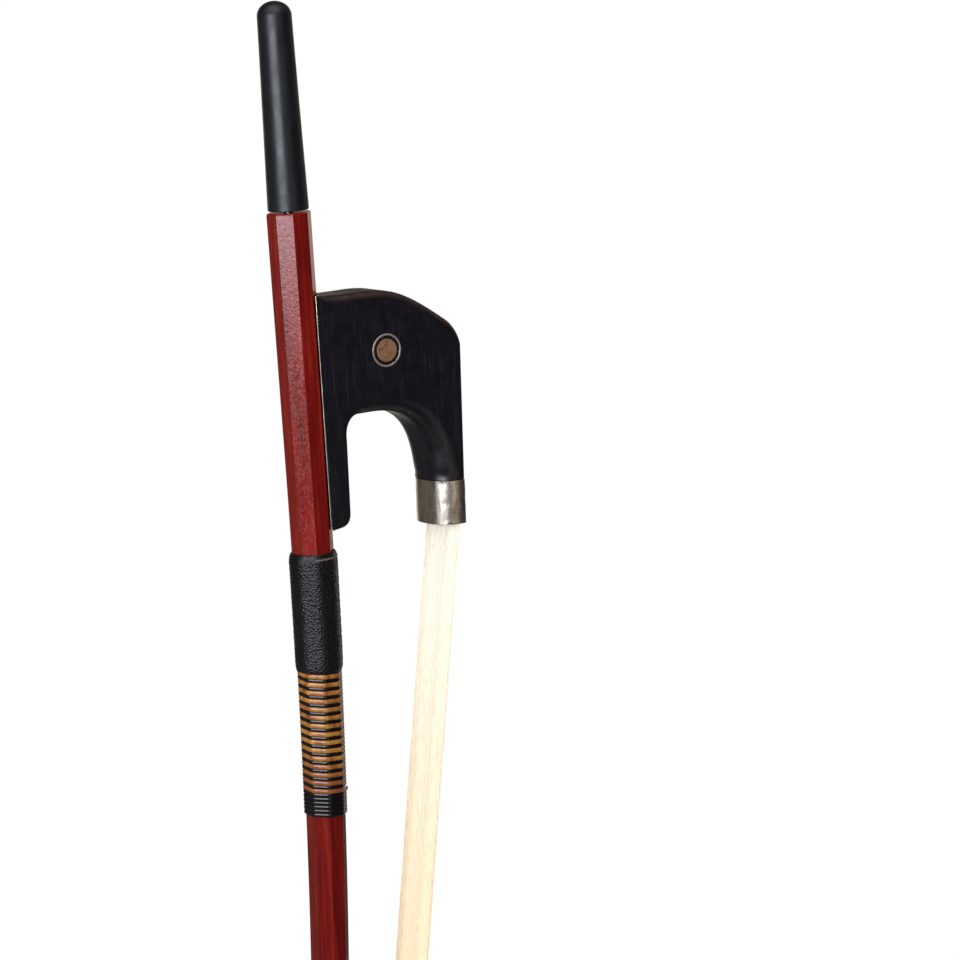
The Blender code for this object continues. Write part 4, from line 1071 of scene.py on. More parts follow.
    def d_half(self, depth: float, inset: float) -> float:
        """Half width of the ferrule's round side at a depth."""
        start = inset + self.ferrule_corner
        rise = (depth - start) / (self.limb_depth - inset - start)
        share = (1 - max(rise, 0.0) ** (2 / self.square)) ** (self.square / 2)
        return (self.ferrule_half_width - inset) * share

    def d_section(self, x: float, inset: float, top_depth: float, steps: int = 48) -> list[Vector]:
        """Points of the ferrule's section: round towards the stick, flat at a depth under the hair's side."""
        corner = self.ferrule_corner
        start = inset + corner
        deep = self.limb_depth - inset - start
        wide = self.ferrule_half_width - inset
        first = math.asin((max(top_depth - start, 0.0) / deep) ** (1 / self.square))
        points = []
        for i in range(steps + 1):
            turn = first + (math.pi - 2 * first) * i / steps
            across = math.copysign(abs(math.cos(turn)) ** self.square, math.cos(turn))
            down = max(math.sin(turn), 0.0) ** self.square
            points.append(self.under_face(x, start + deep * down, wide * across))
        if top_depth < start:
            turns = [math.pi / 2 * i / 4 for i in range(1, 5)]
            arc = [(start - corner * math.sin(t), wide - corner / 2 * (1 - math.cos(t))) for t in turns]
            points += [self.under_face(x, depth, -half) for depth, half in arc]
            points += [self.under_face(x, depth, half) for depth, half in reversed(arc)]
        return points

    def face_block(self, start: float, end: float, depth: float, half: float) -> bmesh.types.BMesh:
        """A block under the frog's outer face."""
        rings = []
        for x in (start, end):
            corners = ((-CUT_MARGIN, -half), (-CUT_MARGIN, half), (depth, half), (depth, -half))
            rings.append([self.under_face(x, d, side) for d, side in corners])
        return loft(rings)

    def side_frame(self, side: int) -> Matrix:
        """Matrix that stands at the eye on one side face, with +Z outward."""
        normal = Vector((0.0, -self.flare, side)).normalized()
        spot = Vector((self.eye.x, self.eye.y, side * self.half(self.eye.y)))
        return Matrix.Translation(spot) @ normal.to_track_quat('Z', 'Y').to_matrix().to_4x4()


def round_band(stand: Matrix, profile: list[tuple[float, float]], steps: int = 96,
               closed: bool = False) -> bmesh.types.BMesh:
    """Turn (radius, height) points about a stand's Z: into a ring if the profile is closed, else capped."""
    turns = [2 * math.pi * i / steps for i in range(steps)]
    rings = [[stand @ Vector((r * math.cos(t), r * math.sin(t), z)) for t in turns] for r, z in profile]
    return loft(rings, ring_is_loop=closed)


@dataclass
class Frog:
    """The ebony block and all that is let into it."""

    shape: FrogShape
    shank_radius: float = 0.0019
    shank_end: float = 0.0152
    lining_screws: tuple[float, float] = (0.0315, 0.0880)
    lining_screw_radius: float = 0.0009
    lining_screw_depth: float = 0.0040
    eyelet: float = 0.0470
    ring_radius: float = 0.0051
    ring_width: float = 0.0006
    pearl_radius: float = 0.0035
    inlay: float = 0.0010
    proud: float = 0.00006
    crown: float = 0.00010
    eased: float = 0.00010        # rounding of the shell's rim
    edge_browning: float = 0.55      # how strongly the rounded edges are browned, as wear and as a painted highlight
    edge_browning_end: float = 0.064       # past here the edges are browned little
    edge_browning_fade: float = 0.008
    edge_browning_least: float = 0.12
    edge_browning_mm: float = 3.846        # size of its patches

    def block(self) -> bmesh.types.BMesh:
        """The outline with rounded edges: loops that step in and rise from the rim to each side face."""
        outline = self.shape.outline()
        count = len(outline)
        steps = []
        for i, (here, reach, _down, _power) in enumerate(outline):
            first = (here - outline[i - 1][0]).normalized()
            second = (outline[(i + 1) % count][0] - here).normalized()
            n1, n2 = Vector((first.y, -first.x)), Vector((second.y, -second.x))
            if first.angle(second, 0.0) < math.radians(35):
                steps.append((n1 + n2).normalized() * reach)
                continue
            det = n1.x * n2.y - n1.y * n2.x
            steps.append(Vector((reach * (n2.y - n1.y) / det, reach * (n1.x - n2.x) / det)))
        rows: list[list[Vector]] = []
        for side in (-1, 1):
            loops = []
            for ring in range(self.shape.rings + 1):
                turn = math.pi / 2 * ring / self.shape.rings
                loop = []
                for (here, _reach, down, power), step in zip(outline, steps):
                    p = here + step * (1 - max(math.cos(turn), 0.0) ** power)
                    z = self.shape.half(p.y) - down * (1 - math.sin(turn) ** power)
                    loop.append(Vector((*p, side * z)))
                loops.append(loop)
            rows += reversed(loops) if side < 0 else loops
        return loft(rows)

    def cuts(self) -> list[tuple[str, bmesh.types.BMesh]]:
        """The neck for the ferrule, the stick's channel, and the seats of what the frog holds."""
        s = self.shape
        past = s.ferrule_start + s.ferrule_length + 5 * CUT_MARGIN
        channel_depth = s.hair_depth + s.hair_thickness / 2 + GLUE_GAP
        neck_top = channel_depth + s.wedge + GLUE_GAP
        tools = [('DIFFERENCE', s.face_block(s.ferrule_start - GLUE_GAP, past, 2 * s.limb_depth,
                                             2 * s.ferrule_half_width))]
        ends = (s.ferrule_start - 2 * CUT_MARGIN, s.ferrule_start + s.neck_length)
        neck = [s.d_section(x, s.ferrule_wall + GLUE_GAP, neck_top) for x in ends]
        tools.append(('UNION', loft(neck)))
        offset = RUN_GAP + s.lining + GLUE_GAP
        rings = []
        for x in (s.heel - CUT_MARGIN, s.tongue_end + CUT_MARGIN):
            reach = LINE.width(x) / 2 + offset
            edge = s.top - CUT_MARGIN
            rim, corner = DIAGONAL * reach - edge, reach * OCTAGON_SHARE
            corners = ((-CUT_MARGIN, rim), (edge, rim), (reach, corner), (reach, -corner), (edge, -rim),
                       (-CUT_MARGIN, -rim))
            rings.append([Vector((x, y, z)) for y, z in corners])
        tools.append(('DIFFERENCE', loft(rings)))
        total = s.pearl + s.backing + GLUE_GAP
        floor = total + GLUE_GAP
        groove = []
        for x in (s.slide_start, past):
            corners = []
            for depth, side in ((-CUT_MARGIN, 1), (floor, 1), (floor, -1), (-CUT_MARGIN, -1)):
                half = s.slide_half_width + s.dovetail * depth / total + GLUE_GAP
                corners.append(s.under_face(x, depth, side * half))
            groove.append(corners)
        tools.append(('DIFFERENCE', loft(groove)))
        start, end, depth, half = s.mortise
        tools.append(('DIFFERENCE', s.face_block(start, past, channel_depth, half)))
        tools.append(('DIFFERENCE', s.face_block(start, end, depth, half)))
        tools.append(('DIFFERENCE', rod(Vector((self.eyelet, 0, 0)), Vector((self.eyelet, self.shank_end, 0)),
                                        self.shank_radius)))
        for x in self.lining_screws:
            end = Vector((x, LINE.width(x) / 2 + RUN_GAP + self.lining_screw_depth, 0))
            tools.append(('DIFFERENCE', rod(Vector((x, 0, 0)), end, self.lining_screw_radius, 24)))
        inner = self.ring_radius - self.ring_width - GLUE_GAP / 2
        outer = self.ring_radius + GLUE_GAP / 2
        floor = -self.inlay - GLUE_GAP
        for side in (1, -1):
            stand = s.side_frame(side)
            groove = [(outer, floor), (outer, CUT_MARGIN), (inner, CUT_MARGIN), (inner, floor)]
            tools.append(('DIFFERENCE', round_band(stand, groove, closed=True)))
            pocket = [(self.pearl_radius + GLUE_GAP / 2, z) for z in (floor, CUT_MARGIN)]
            tools.append(('DIFFERENCE', round_band(stand, pocket)))
        return tools

    def wear(self, obj: bpy.types.Object) -> None:
        """Store how far each point is browned, partly as wear and partly as a painted highlight: most halfway
        round the heel's edges, less on flats and limb.
        """
        values = []
        for vert in obj.data.vertices:
            p = vert.co - ORIGIN
            down = (self.shape.half(p.y) - abs(p.z)) / self.shape.heel_round
            share = min(max(down, 0.0), 1.0)
            patchy = 0.6 + 0.8 * noise.noise(p * (1000.0 / self.edge_browning_mm))
            heel_share = min(max((self.edge_browning_end - p.x) / self.edge_browning_fade, self.edge_browning_least), 1.0)
            values.append(heel_share * self.edge_browning * 4 * share * (1 - share) * min(max(patchy, 0.0), 1.0))
        obj.data.attributes.new("wear", 'FLOAT', 'POINT').data.foreach_set("value", values)

    def build(self, wardrobe: Wardrobe) -> None:
        """Make and dress the frog and its eyes."""
        frog = smooth(carve(piece("ebony_frog", self.block()), self.cuts()))
        self.wear(frog)
        wardrobe.dress(frog, Body.FROG, "ebony", "frog")
        for side, word in ((1, "left"), (-1, "right")):
            stand = self.shape.side_frame(side)
            outer, inner, top = self.ring_radius, self.ring_radius - self.ring_width, self.proud
            middle, half = (outer + inner) / 2, self.ring_width / 2
            turns = [math.pi * i / 8 for i in range(9)]
            crown = [(middle + half * math.cos(t), top + self.crown * (math.sin(t) - 1)) for t in turns]
            profile = [(outer, -self.inlay), *crown, (inner, -self.inlay)]
            ring = smooth(piece(f"eye_band_{word}", round_band(stand, profile, closed=True)), 50)
            wardrobe.dress(ring, Body.FROG, "nickel_silver", f"eye_ring_{word}")
            ring.data.materials[0] = wardrobe.eye_metal
            r = self.pearl_radius
            soft, turn = self.eased, self.eased * EASE
            profile = [(r, -self.inlay), (r, top - soft), (r - turn, top - turn), (r - soft, top)]
            dot = smooth(piece(f"eye_shell_{word}", round_band(stand, profile)), 50)
            wardrobe.dress(dot, Body.FROG, "pearl", f"eye_pearl_{word}")


@dataclass
class FrogFittings:
    """Lining, slide and plug of the frog, with the eyelet and screws that hold it."""

    rim_round: float = 0.00025      # of the lining's long rims, which catch the light beside the stick
    rim_least: float = 0.004

    def build(self, wardrobe: Wardrobe) -> None:
        """Make and dress the fittings."""
        lining = softened("underslide", "channel_lining", self.rim_round, 4, self.rim_least)
        wardrobe.dress(lining, Body.FROG, "nickel_silver", "underslide")
        for node, name, slot, edge in (("slide_pearl", "shell_slide", "pearl", 0.00012),
                                       ("slide_backing", "slide_base", "ebony", 0.00008),
                                       ("frog_plug", "maple_frog_plug", "maple", 0.00012),
                                       ("ferrule_wedge", "maple_wedge", "maple", 0.00006)):
            wardrobe.dress(softened(node, name, edge), Body.FROG, slot, node)
        wardrobe.repaint("eyelet", "brass")
        wardrobe.repaint("frog_knot", "horsehair")
        wardrobe.repaint("underslide_screw_rear", "steel")
        wardrobe.repaint("underslide_screw_front", "steel")


@dataclass
class Ferrule:
    """A band of thin metal with a D section, slightly dented by use."""

    shape: FrogShape
    stations: int = 26
    edge: float = 0.00012
    dent: float = 0.00007
    dent_mm: float = 3.0

    def build(self, wardrobe: Wardrobe) -> None:
        """Make and dress the band."""
        s = self.shape
        start, end = s.ferrule_start, s.ferrule_start + s.ferrule_length
        middle = [start + self.edge + (end - start - 2 * self.edge) * i / self.stations
                  for i in range(self.stations + 1)]
        outer = [s.d_section(start, self.edge, self.edge)]
        outer += [s.d_section(x, 0.0, 0.0) for x in middle]
        outer.append(s.d_section(end, self.edge, self.edge))
        inner = [s.d_section(x, s.ferrule_wall, s.ferrule_wall) for x in (end, start)]
        for ring in outer[2:-2]:
            centre = sum(ring, Vector()) / len(ring)
            for i, p in enumerate(ring):
                depth = max(noise.noise(p * (1000.0 / self.dent_mm)), 0.0) * self.dent * 2
                ring[i] = p + (centre - p).normalized() * depth
        band = smooth(piece("silver_ferrule", loft(outer + inner, ring_is_loop=True)), 40)
        wardrobe.dress(band, Body.FROG, "nickel_silver", "ferrule")


# Screw and button

@dataclass
class ScrewAndButton:
    """A long button of polished ebony on a steel screw."""

    length: float = 0.0618
    radius: float = 0.0062
    tip_radius: float = 0.00518
    dome: float = 0.0044
    edge: float = 0.0003
    tang_radius: float = 0.0015
    tang_length: float = 0.0404
    taper_power: float = 1.15     # above 1, the taper is slower near the tip
    dome_steps: int = 20
    taper_steps: int = 10
    steps: int = 96

    def build(self, wardrobe: Wardrobe) -> None:
        """Make and dress the button, and keep the CAD screw."""
        front = -RUN_GAP - GLUE_GAP
        end = front - self.length
        dome_end = end + self.dome
        profile = []
        for i in range(self.dome_steps + 1):
            turn = math.pi / 2 * i / self.dome_steps
            profile.append((dome_end - self.dome * math.cos(turn), self.tip_radius * math.sin(turn)))
        for i in range(1, self.taper_steps):
            share = i / self.taper_steps
            radius = self.tip_radius + (self.radius - self.tip_radius) * share ** self.taper_power
            profile.append((dome_end + (front - self.edge - dome_end) * share, radius))
        turn = self.edge * EASE
        profile += [(front - self.edge, self.radius), (front - turn, self.radius - turn),
                    (front, self.radius - self.edge), (front, 0.0)]
        bore = rod(Vector((CUT_MARGIN, 0, 0)), Vector((-self.tang_length, 0, 0)), self.tang_radius)
        button = carve(piece("ebony_button", turned(profile, self.steps)), [('DIFFERENCE', bore)])
        wardrobe.dress(smooth(button, 35), Body.SCREW, "polished_ebony", "button")
        wardrobe.repaint("screw", "steel")


# Leather and winding

@dataclass
class ThumbLeather:
    """A sleeve of goatskin glued round the stick, with real pebbles and drawn-in ends."""

    start: float = 0.1035
    end: float = 0.1403
    gap: float = 0.00015
    thickness: float = 0.00115
    corner: float = 0.0044
    drawn_in: float = 0.0030      # how far from each end it starts to draw in
    lap: float = 0.0028           # how far it lies over the winding's first turn
    lap_gap: float = 0.00072
    lips: tuple[float, float] = (0.30, 0.62)      # thickness at its start and end, as a share of the whole
    hem: float = 0.0016           # from its start to where the skin's cut edge shows
    hem_width: float = 0.00024
    hem_height: float = 0.00014
    hem_span: tuple[float, float] = (0.02, 0.33)  # as shares of the way round
    hem_fade: float = 0.02
    pebble_mm: float = 0.80
    pebble_slope: float = 2.2     # how steeply a pebble rises from its crease
    relief: float = 0.00016
    inner_corner: float = 0.0002
    along: int = 236
    around: int = 276

    def build(self, wardrobe: Wardrobe) -> None:
        """Make and dress the sleeve."""
        rings, pebbles, cuts = [], [], []
        for i in range(self.along + 1):
            x = self.start + (self.end - self.start) * i / self.along
            place = LINE.at(x)
            near = min(x - self.start, self.end - x) / self.drawn_in
            rise = math.sqrt(1 - (1 - min(near, 1.0)) ** 2)
            lip = self.lips[x > (self.start + self.end) / 2]
            over = self.gap + self.thickness * (lip + (1 - lip) * rise)
            hem = math.exp(-((x - self.start - self.hem) / self.hem_width) ** 2)
            section = RoundedOctagon(LINE.width(x) / 2 + over, self.corner)
            ring = []
            for j in range(self.around):
                (n, z), away = section.at(j / self.around)
                spot = place.put(0, n, z)
                dists = noise.voronoi(spot * (1000.0 / self.pebble_mm), distance_metric='DISTANCE')[0]
                height = min((dists[1] - dists[0]) * self.pebble_slope, 1.0)
                height = height * height * (3 - 2 * height)
                pebbles.append(height)
                first, last = self.hem_span
                near_hem = min(j / self.around - first, last - j / self.around) / self.hem_fade
                cut = hem * min(max(near_hem, 0.0), 1.0)
                cuts.append(cut)
                lift = (height - 1.0) * self.relief * rise + cut * self.hem_height
                ring.append(spot + place.put(0, *(away * lift)) - place.origin)
            rings.append(ring)
        lap_start = self.end - self.lap
        for x, gap in ((self.end, self.lap_gap), (lap_start, self.lap_gap), (lap_start, self.gap),
                       (self.start, self.gap)):
            section = RoundedOctagon(LINE.width(x) / 2 + gap, self.inner_corner)
            place = LINE.at(x)
            rings.append([place.put(0, *section.at(j / self.around)[0]) for j in range(self.around)])
        leather = piece("goatskin_sleeve", loft(rings, ring_is_loop=True))
        for word, values in (("pebble", pebbles), ("raw_edge", cuts)):
            padded = values + [0.0] * (4 * self.around)
            leather.data.attributes.new(word, 'FLOAT', 'POINT').data.foreach_set("value", padded)
        leather.data.shade_smooth()
        leather.data.set_sharp_from_angle(angle=math.radians(70))
        wardrobe.dress(leather, Body.STICK, "leather", "thumb_leather")


class SweepTree:
    """Geometry Nodes that sweep a strip's crowned section along a guide, square to its stored direction."""

    def __init__(self) -> None:
        """Build the tree."""
        tree = bpy.data.node_groups.new("wound_strip", 'GeometryNodeTree')
        face = tree.interface
        face.new_socket("Guide", in_out='INPUT', socket_type='NodeSocketGeometry')
        face.new_socket("Width", in_out='INPUT', socket_type='NodeSocketFloat')
        face.new_socket("Thickness", in_out='INPUT', socket_type='NodeSocketFloat')
        face.new_socket("Material", in_out='INPUT', socket_type='NodeSocketMaterial')
        face.new_socket("Strip", in_out='OUTPUT', socket_type='NodeSocketGeometry')
        given = add(tree, "NodeGroupInput").outputs
        path = add(tree, "GeometryNodeMeshToCurve", {"Mesh": given["Guide"]}).outputs["Curve"]
        away = add(tree, "GeometryNodeInputNamedAttribute", {"Name": "away"}, data_type='FLOAT_VECTOR')
        inputs = {"Curve": path, "Normal": away.outputs["Attribute"]}
        turned_path = add(tree, "GeometryNodeSetCurveNormal", inputs, mode='FREE').outputs["Curve"]
        inputs = {"Resolution": 14, "Radius": 0.5}
        circle = add(tree, "GeometryNodeCurvePrimitiveCircle", inputs).outputs["Curve"]
        inputs = {0: given["Thickness"], 1: given["Width"], 2: 1.0}
        size = add(tree, "ShaderNodeCombineXYZ", inputs).outputs[0]
        crowned = add(tree, "GeometryNodeTransform", {"Geometry": circle, "Scale": size}).outputs["Geometry"]
        inputs = {"Curve": turned_path, "Profile Curve": crowned, "Fill Caps": True}
        strip = add(tree, "GeometryNodeCurveToMesh", inputs).outputs["Mesh"]
        real = add(tree, "GeometryNodeRealizeInstances", {"Geometry": strip}).outputs["Geometry"]
        inputs = {"Geometry": real, "Material": given["Material"]}
        done = add(tree, "GeometryNodeSetMaterial", inputs).outputs["Geometry"]
        add(tree, "NodeGroupOutput", {"Strip": done})
        self.tree = tree


def run_tree(obj: bpy.types.Object, tree: bpy.types.NodeTree, values: dict) -> bpy.types.Object:
    """Run a node tree on an object.

    Args:
        obj: The guide object.
        tree: The Geometry Nodes tree.
        values: Values of its named inputs.

    Returns:
        The object, with the tree's result as its plain mesh.
    """
    mod = obj.modifiers.new(tree.name, 'NODES')
    mod.node_group = tree
    for item in tree.interface.items_tree:
        if item.in_out == 'INPUT' and item.name in values:
            mod[item.identifier] = values[item.name]
    return settled(obj)


def guide_object(name: str, points: list[Vector], vectors: dict[str, list[Vector]]) -> bpy.types.Object:
    """A line of points in bow coordinates that carries vectors for a node tree."""
    mesh = bpy.data.meshes.new(name)
    mesh.from_pydata([p + ORIGIN for p in points], [(i, i + 1) for i in range(len(points) - 1)], [])
    for word, rows in vectors.items():
        flat = [value for row in rows for value in row]
        mesh.attributes.new(word, 'FLOAT_VECTOR', 'POINT').data.foreach_set("vector", flat)
    obj = bpy.data.objects.new(name, mesh)
    bpy.context.collection.objects.link(obj)
    return obj


@dataclass
class Winding:
    """Two strips side by side in wide turns, then the black one alone in close turns."""

    start: float = 0.13843
    pitch: float = 0.00257
    close_pitch: float = 0.00126
    wide_turns: float = 15.6
    close_turns: float = 5.75
    tan_stops_before: float = 0.69
    black_width: float = 0.00122
    tan_width: float = 0.00138
    thickness: float = 0.00052
    loose_end: float = 0.05       # share of a turn at the tan strip's end that stands off
    loose_lift: float = 0.0006
    gap: float = 0.00015
    corner: float = 0.0012
    points_per_turn: int = 64

    def advance(self, turn: float) -> float:
        """Travel along the stick after some turns of the black strip."""
        return self.pitch * min(turn, self.wide_turns) + self.close_pitch * max(turn - self.wide_turns, 0.0)

    def build(self, wardrobe: Wardrobe) -> None:
        """Make and dress both strips."""
        tree = SweepTree().tree
        for name, node, slot, start, turns, width, lift in (
                ("black_strip_winding", "winding_black", "black_strip", self.start,
                 self.wide_turns + self.close_turns, self.black_width, 0.0),
                ("tan_strip_winding", "winding_tan", "tan_strip", self.start + self.pitch / 2,
                 self.wide_turns - self.tan_stops_before, self.tan_width, self.loose_lift)):
            points, away = [], []
            for i in range(int(turns * self.points_per_turn) + 1):
                turn = i / self.points_per_turn
                x = start + self.advance(turn)
                place = LINE.at(x)
                section = RoundedOctagon(LINE.width(x) / 2 + self.gap + self.thickness / 2, self.corner)
                (n, z), direction = section.at(-turn)
                loose = max(1 - (turns - turn) / self.loose_end, 0.0)
                n, z = Vector((n, z)) + direction * lift * loose
                points.append(place.put(0, n, z))
                away.append(place.put(0, *direction) - place.origin)
            guide = guide_object(name, points, {"away": away})
            values = {"Width": width, "Thickness": self.thickness, "Material": wardrobe.materials[slot]}
            strip = run_tree(guide, tree, values)
            wardrobe.dress(smooth(strip, 50), Body.STICK, slot, node)


# Hair

class HairTree:
    """Geometry Nodes that lay single hairs side by side over the ribbon's width and depth."""

    def __init__(self) -> None:
        """Build the tree."""
        tree = bpy.data.node_groups.new("laid_hairs", 'GeometryNodeTree')
        face = tree.interface
        face.new_socket("Guide", in_out='INPUT', socket_type='NodeSocketGeometry')
        face.new_socket("Hairs", in_out='INPUT', socket_type='NodeSocketInt')
        face.new_socket("Hair Radius", in_out='INPUT', socket_type='NodeSocketFloat')
        face.new_socket("Stray", in_out='INPUT', socket_type='NodeSocketFloat')
        face.new_socket("Material", in_out='INPUT', socket_type='NodeSocketMaterial')
        face.new_socket("Hair", in_out='OUTPUT', socket_type='NodeSocketGeometry')
        given = add(tree, "NodeGroupInput").outputs
        path = add(tree, "GeometryNodeMeshToCurve", {"Mesh": given["Guide"]}).outputs["Curve"]
        inputs = {"Geometry": path, "Amount": given["Hairs"]}
        copies = add(tree, "GeometryNodeDuplicateElements", inputs, domain='SPLINE').outputs
        number = copies["Duplicate Index"]
        inputs = {2: -1.0, 3: 1.0, "ID": number, "Seed": 11}
        side = add(tree, "FunctionNodeRandomValue", inputs, data_type='FLOAT').outputs[1]
        inputs = {2: -1.0, 3: 1.0, "ID": number, "Seed": 23}
        level = add(tree, "FunctionNodeRandomValue", inputs, data_type='FLOAT').outputs[1]
        reach = add(tree, "GeometryNodeInputNamedAttribute", {"Name": "reach"}, data_type='FLOAT_VECTOR')
        lift = add(tree, "GeometryNodeInputNamedAttribute", {"Name": "lift"}, data_type='FLOAT_VECTOR')
        inputs = {0: reach.outputs["Attribute"], "Scale": side}
        across = add(tree, "ShaderNodeVectorMath", inputs, operation='SCALE').outputs[0]
        inputs = {0: lift.outputs["Attribute"], "Scale": level}
        over = add(tree, "ShaderNodeVectorMath", inputs, operation='SCALE').outputs[0]
        spot = add(tree, "GeometryNodeInputPosition").outputs[0]
        along = add(tree, "ShaderNodeSeparateXYZ", {0: spot}).outputs[0]
        wave = add(tree, "ShaderNodeCombineXYZ", {0: along, 1: number}).outputs[0]
        inputs = {"Vector": wave, "Scale": 9.0, "Detail": 0.0}
        wander = add(tree, "ShaderNodeTexNoise", inputs).outputs["Color"]
        inputs = {0: wander, 1: (0.5, 0.5, 0.5)}
        centred = add(tree, "ShaderNodeVectorMath", inputs, operation='SUBTRACT').outputs[0]
        inputs = {0: centred, "Scale": given["Stray"]}
        astray = add(tree, "ShaderNodeVectorMath", inputs, operation='SCALE').outputs[0]
        both = add(tree, "ShaderNodeVectorMath", {0: across, 1: over}, operation='ADD').outputs[0]
        shift = add(tree, "ShaderNodeVectorMath", {0: both, 1: astray}, operation='ADD').outputs[0]
        inputs = {"Geometry": copies["Geometry"], "Offset": shift}
        laid = add(tree, "GeometryNodeSetPosition", inputs).outputs["Geometry"]
        inputs = {"Resolution": 4, "Radius": given["Hair Radius"]}
        circle = add(tree, "GeometryNodeCurvePrimitiveCircle", inputs).outputs["Curve"]
        inputs = {"Curve": laid, "Profile Curve": circle, "Fill Caps": True}
        hairs = add(tree, "GeometryNodeCurveToMesh", inputs).outputs["Mesh"]
        real = add(tree, "GeometryNodeRealizeInstances", {"Geometry": hairs}).outputs["Geometry"]
        inputs = {"Geometry": real, "Material": given["Material"]}
        done = add(tree, "GeometryNodeSetMaterial", inputs).outputs["Geometry"]
        add(tree, "NodeGroupOutput", {"Hair": done})
        self.tree = tree


@dataclass
class HairRibbon:
    """The flat ribbon of hair: a thin core with single hairs laid over it."""

    head: HeadShape
    shape: FrogShape
    half_frog: float = 0.0087
    half_head: float = 0.0057
    half_mortise: float = 0.0040
    thickness: float = 0.0009
    core: float = 0.00045
    mouth_depth: float = 0.0023
    stations: int = 24
    knot_radius: float = 0.0018
    hairs: int = 210
    hair_radius: float = 0.00010
    stray: float = 0.00030
    sunk: float = 0.00008         # how far the outermost hairs stay under the ribbon's face
    core_inset: float = 0.0002
    free_start: float = 0.004     # before the tip plate's heel, where the hair comes free
    clear: float = 0.0001
    # the turn into the frog's mortise: before the knot, and deeper
    turn_in: tuple[tuple[float, float], ...] = ((0.0012, 0.0), (0.0003, 0.0005), (0.0, 0.0016))

    def path(self) -> list[tuple[Vector, float]]:
        """(point, half width) from the knot in the head to the knot in the frog."""
        h, s = self.head, self.shape
        half = self.thickness / 2
        reach = GLUE_GAP + half
        rise = h.mortise_start + GLUE_GAP + half
        bottom = h.depth - h.mortise_depth + 2 * self.knot_radius + 2 * GLUE_GAP
        turns = [math.pi / 2 * i / 8 for i in range(9)]
        bend = [(h.mortise_start + reach * math.cos(t), h.plate_face + reach * math.sin(t)) for t in turns]
        path = [(h.place.put(a, n, 0), self.half_mortise) for a, n in [(rise, bottom), *bend]]
        leave = h.place.put(h.heel - self.free_start, h.plate_face + reach + self.clear, 0)
        mouth = s.under_face(s.ferrule_start + s.ferrule_length, self.mouth_depth)
        for i in range(self.stations):
            t = i / self.stations
            wide = self.half_frog + (self.half_head - self.half_frog) * (1 - t) ** 2
            path.append((leave.lerp(mouth, t), wide))
        path.append((mouth, s.d_half(self.mouth_depth + half, s.ferrule_wall) - GLUE_GAP))
        start, _end, depth, wide = s.mortise
        throat = wide - GLUE_GAP
        middle = s.ferrule_start + 0.5 * s.ferrule_length
        path.append((s.under_face(middle, s.hair_depth), 0.5 * (self.half_frog + throat)))
        knot_x = start + self.knot_radius + 2 * GLUE_GAP
        top = depth - 2 * self.knot_radius - 3 * GLUE_GAP
        path.append((s.under_face(s.ferrule_start - GLUE_GAP, s.hair_depth), throat))
        for before, deeper in self.turn_in:
            path.append((s.under_face(knot_x + before, s.hair_depth + deeper), throat))
        path.append((s.under_face(knot_x, top), throat))
        return path

    def build(self, wardrobe: Wardrobe) -> None:
        """Make and dress the ribbon."""
        path = self.path()
        rings, points, reach, lift = [], [], [], []
        for i, (here, wide) in enumerate(path):
            before, after = path[max(i - 1, 0)][0], path[min(i + 1, len(path) - 1)][0]
            along = (after - before).normalized()
            up = Vector((-along.y, along.x, 0))
            half = self.core / 2
            turns = [2 * math.pi * k / 24 for k in range(24)]
            flat = wide - self.core_inset
            rings.append([here + up * half * math.sin(t) + Vector((0, 0, flat * math.cos(t))) for t in turns])
            points.append(here)
            reach.append(Vector((0, 0, wide - self.hair_radius)))
            lift.append(up * (self.thickness / 2 - self.hair_radius - self.sunk))
        guide = guide_object("laid_hairs", points, {"reach": reach, "lift": lift})
        values = {"Hairs": self.hairs, "Hair Radius": self.hair_radius, "Stray": self.stray,
                  "Material": wardrobe.materials["horsehair"]}
        hairs = run_tree(guide, HairTree().tree, values)
        bm = loft(rings)
        bmesh.ops.translate(bm, verts=bm.verts, vec=ORIGIN)
        bmesh.ops.recalc_face_normals(bm, faces=bm.faces)
        bm.from_mesh(hairs.data)
        bpy.data.objects.remove(hairs, do_unlink=True)
        ribbon = piece("hair_ribbon", bm, placed=True)
        ribbon.data.shade_smooth()
        wardrobe.dress(ribbon, None, "horsehair", "hair")
        mouth = self.shape.under_face(self.shape.ferrule_start + self.shape.ferrule_length, self.mouth_depth)
        near_head = self.head.place.put(self.head.heel - self.free_start, self.head.plate_face, 0)
        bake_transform(ribbon)


# Light and camera

@dataclass(frozen=True)
class Card:
    """A pale card that the room's glow stands for: full inside its inner angle, gone past its outer one."""

    direction: tuple[float, float, float]
    inner: float
    outer: float
    radiance: float
    tone: str


